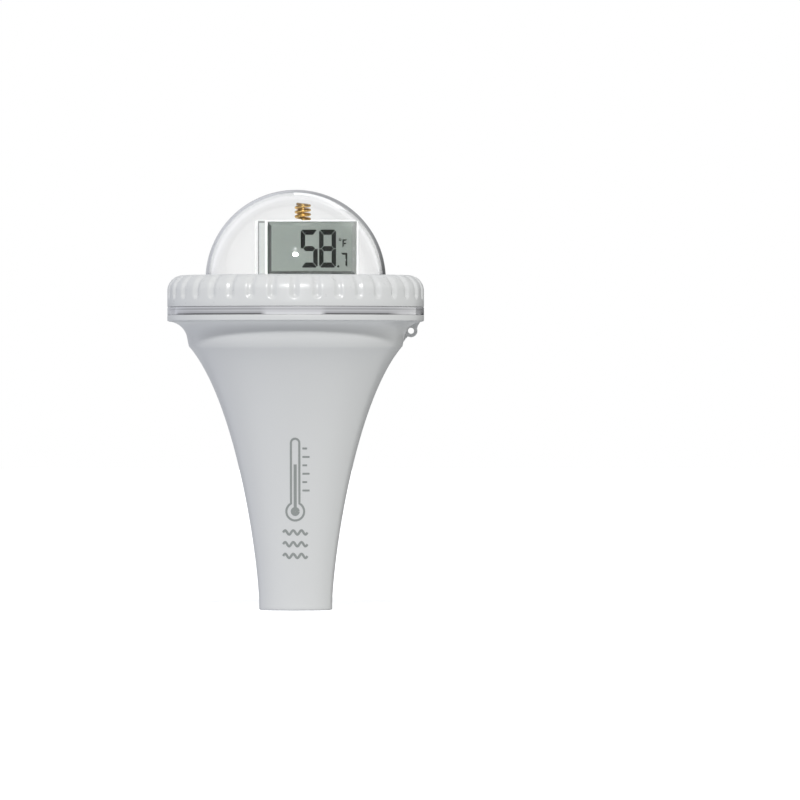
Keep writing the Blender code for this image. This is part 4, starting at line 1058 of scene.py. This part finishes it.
def make_back_shell():
    """The rear cover with soft corners, open at the keys, the switch, the aerial and the ribbon."""
    low, high = box_mm("back_cover")
    board_low, board_high = box_mm("display_board")
    wall, corner, foot_corner, room = 1.2, 1.4, 0.3, 0.3
    fillets = (foot_corner, foot_corner, corner, corner)
    corners = [(*place, fillet) for place, fillet in zip(rectangle(low.x, low.z, high.x, high.z), fillets)]
    shape = prism(rounded(corners), low.y, high.y)
    piece = finish_piece("back_shell", shape, MODULE_WHITE, "float", ["back_cover"])
    pocket = rectangle(board_low.x - room, board_low.z - room, board_high.x + room, board_high.z + room)
    cut(piece, pocket, low.y - 1, high.y - wall)
    x, z = SWITCH
    half, half_height, key_hole, aerial_hole = 3.9, 1.5, 2.7, 3.4
    openings = [circle((button, BUTTON_HEIGHT), key_hole, 48) for button in BUTTONS]
    openings.append(rounded_rectangle(x - half, z - half_height, x + half, z + half_height, 0.5))
    openings += [circle(screw, SCREW_HOLE, 24) for screw in BACK_SCREWS]
    for outline in openings:
        cut(piece, outline, high.y - wall - 8, high.y + 1)
    cut(piece, circle(AERIAL, aerial_hole, 48), high.z - 2, high.z + 1, "Z")
    ribbon = rectangle(RIBBON_LEFT, low.y - 1, RIBBON_RIGHT, RIBBON_BACK)
    cut(piece, ribbon, low.z - 1, board_low.z + 0.4, "Z")
    soften(piece, 0.4)


def make_keys():
    """The two round keys, each with a shallow dish for the fingertip."""
    key_radius, flange_radius, flange_top = 2.4, 3.0, 8.0
    for node, body in (("unit_button", "unit_key"), ("sync_button", "sync_key")):
        low, high = box_mm(node)
        face = high.y
        profile = [(0, face - 0.3), (0.9, face - 0.25), (1.6, face - 0.06), (1.95, face), (2.2, face - 0.06),
                   (2.36, face - 0.22), (key_radius, face - 0.5), (key_radius, flange_top),
                   (flange_radius, flange_top), (flange_radius, low.y), (0, low.y)]
        shape = turned(profile, 64)
        lay_back(shape, (low.x + high.x) / 2, BUTTON_HEIGHT)
        finish_piece(f"{node}_dished", shape, BUTTON_GREY, body, [node])


def make_slider():
    """The channel selector: a plate behind the slot, and a nub with grip ridges."""
    low, high = box_mm("channel_slider")
    x, z = SWITCH
    plate_half, plate_top, nub_half, nub_half_height, ridge, ridge_depth = 1.9, 8.0, 1.5, 1.1, 0.5, 0.35
    shape = prism(rectangle(low.x, z - plate_half, high.x, z + plate_half), low.y, plate_top)
    nub = [(x - nub_half, 7.6), (x + nub_half, 7.6)]
    nub += [(x + nub_half - ridge * step, high.y - ridge_depth * (step % 2)) for step in range(7)]
    piece = finish_piece("channel_slider_ridged", shape, BUTTON_GREY, "channel_key",
                         ["channel_slider"])
    combine(piece, prism(nub, z - nub_half_height, z + nub_half_height, "Z"), "UNION")
    soften(piece, 0.1, 2)


def make_pan_screw(node, backwards):
    """A screw with a domed head and a cross recess. It points backwards or up."""
    low, high = box_mm(node)
    tip, top = (low.y, high.y) if backwards else (low.z, high.z)
    head, shank, seat = 1.9, 0.85, top - 1.2
    profile = [(0, top), (0.7, top - 0.02), (1.2, top - 0.14), (1.6, top - 0.36), (1.83, top - 0.66),
               (head, seat + 0.15), (head - 0.06, seat), (shank, seat), (shank, tip + 0.6), (0.3, tip),
               (0, tip)]
    shape = turned(profile, 48)
    reach, half = 1.05, 0.2
    cross = [(half, half), (half, reach), (-half, reach), (-half, half), (-reach, half), (-reach, -half),
             (-half, -half), (-half, -reach), (half, -reach), (half, -half), (reach, -half), (reach, half)]
    recess = prism(cross, top - 0.7, top + 1, "Z")
    x, middle = (low.x + high.x) / 2, (low.z + high.z) / 2
    for part in (shape, recess):
        if backwards:
            lay_back(part, x, middle)
        else:
            bmesh.ops.translate(part, verts=part.verts, vec=(x, 0, 0))
    piece = finish_piece(f"{node}_cross", shape, STEEL, "float", [node])
    combine(piece, recess, "DIFFERENCE")


def make_probe_cup():
    """The bright metal cup in the foot, with a rounded nose."""
    low, high = box_mm("probe_thimble")
    radius, bore, nose = 4.0, 3.5, 0.9
    flange_low, flange_high = 3.9, 4.7
    profile = [(bore, high.z), (radius, high.z), (radius, flange_high), (high.x, flange_high),
               (high.x, flange_low), (radius, flange_low)]
    profile += arc((radius - nose, low.z + nose), nose, 0, -90, 6) + [(0, low.z), (0, low.z + 0.5)]
    profile += arc((bore - 0.5, low.z + 1.0), 0.5, -90, 0, 4)
    finish_piece("probe_cup", turned(profile, 96), STEEL, "float", ["probe_thimble"])


# --- What stays as the CAD made it ---

JACKET_BAND = 0.6925  # where a cell's band starts, as a share of its height

KEPT = {
    "module_plastic": MODULE_WHITE,
    "rail_plastic": RAIL_GREY,
    "reflector": RAIL_GREY,
    "circuit_board": BOARD,
    "black_component": BLACK_PLASTIC,
    "steel": STEEL,
    "ballast_iron": IRON,
    "seal_rubber": RUBBER,
    "lead_jacket": RUBBER,
}


def dress_kept_nodes():
    """Gives every CAD node that is still shown the finish of its slot."""
    slots = {row["node"]: row["material_slot"] for row in frame["record"]["subparts"]}
    for name, node in frame["nodes"].items():
        if node.hide_render:
            continue
        if slots[name] == "cell_jacket":
            low, high = box_mm(name)
            material = cell_jacket(f"{name}_jacket", low.z + JACKET_BAND * (high.z - low.z))
        else:
            material = KEPT[slots[name]]
        for slot in node.material_slots:
            slot.material = material


make_camera()
make_world()
make_floor()
make_float_body()
make_eyelet()
make_clear_cover()
light_studio(make_grip_collar())
make_o_ring()
make_printed_mark()
make_housing()
make_rail()
make_lcd()
make_reading()
make_antenna()
make_deck()
make_back_shell()
make_keys()
make_slider()
for screw in ("deck_screw_left", "deck_screw_right"):
    make_pan_screw(screw, backwards=False)
for screw in ("back_screw_low", "back_screw_high"):
    make_pan_screw(screw, backwards=True)
make_probe_cup()
dress_kept_nodes()
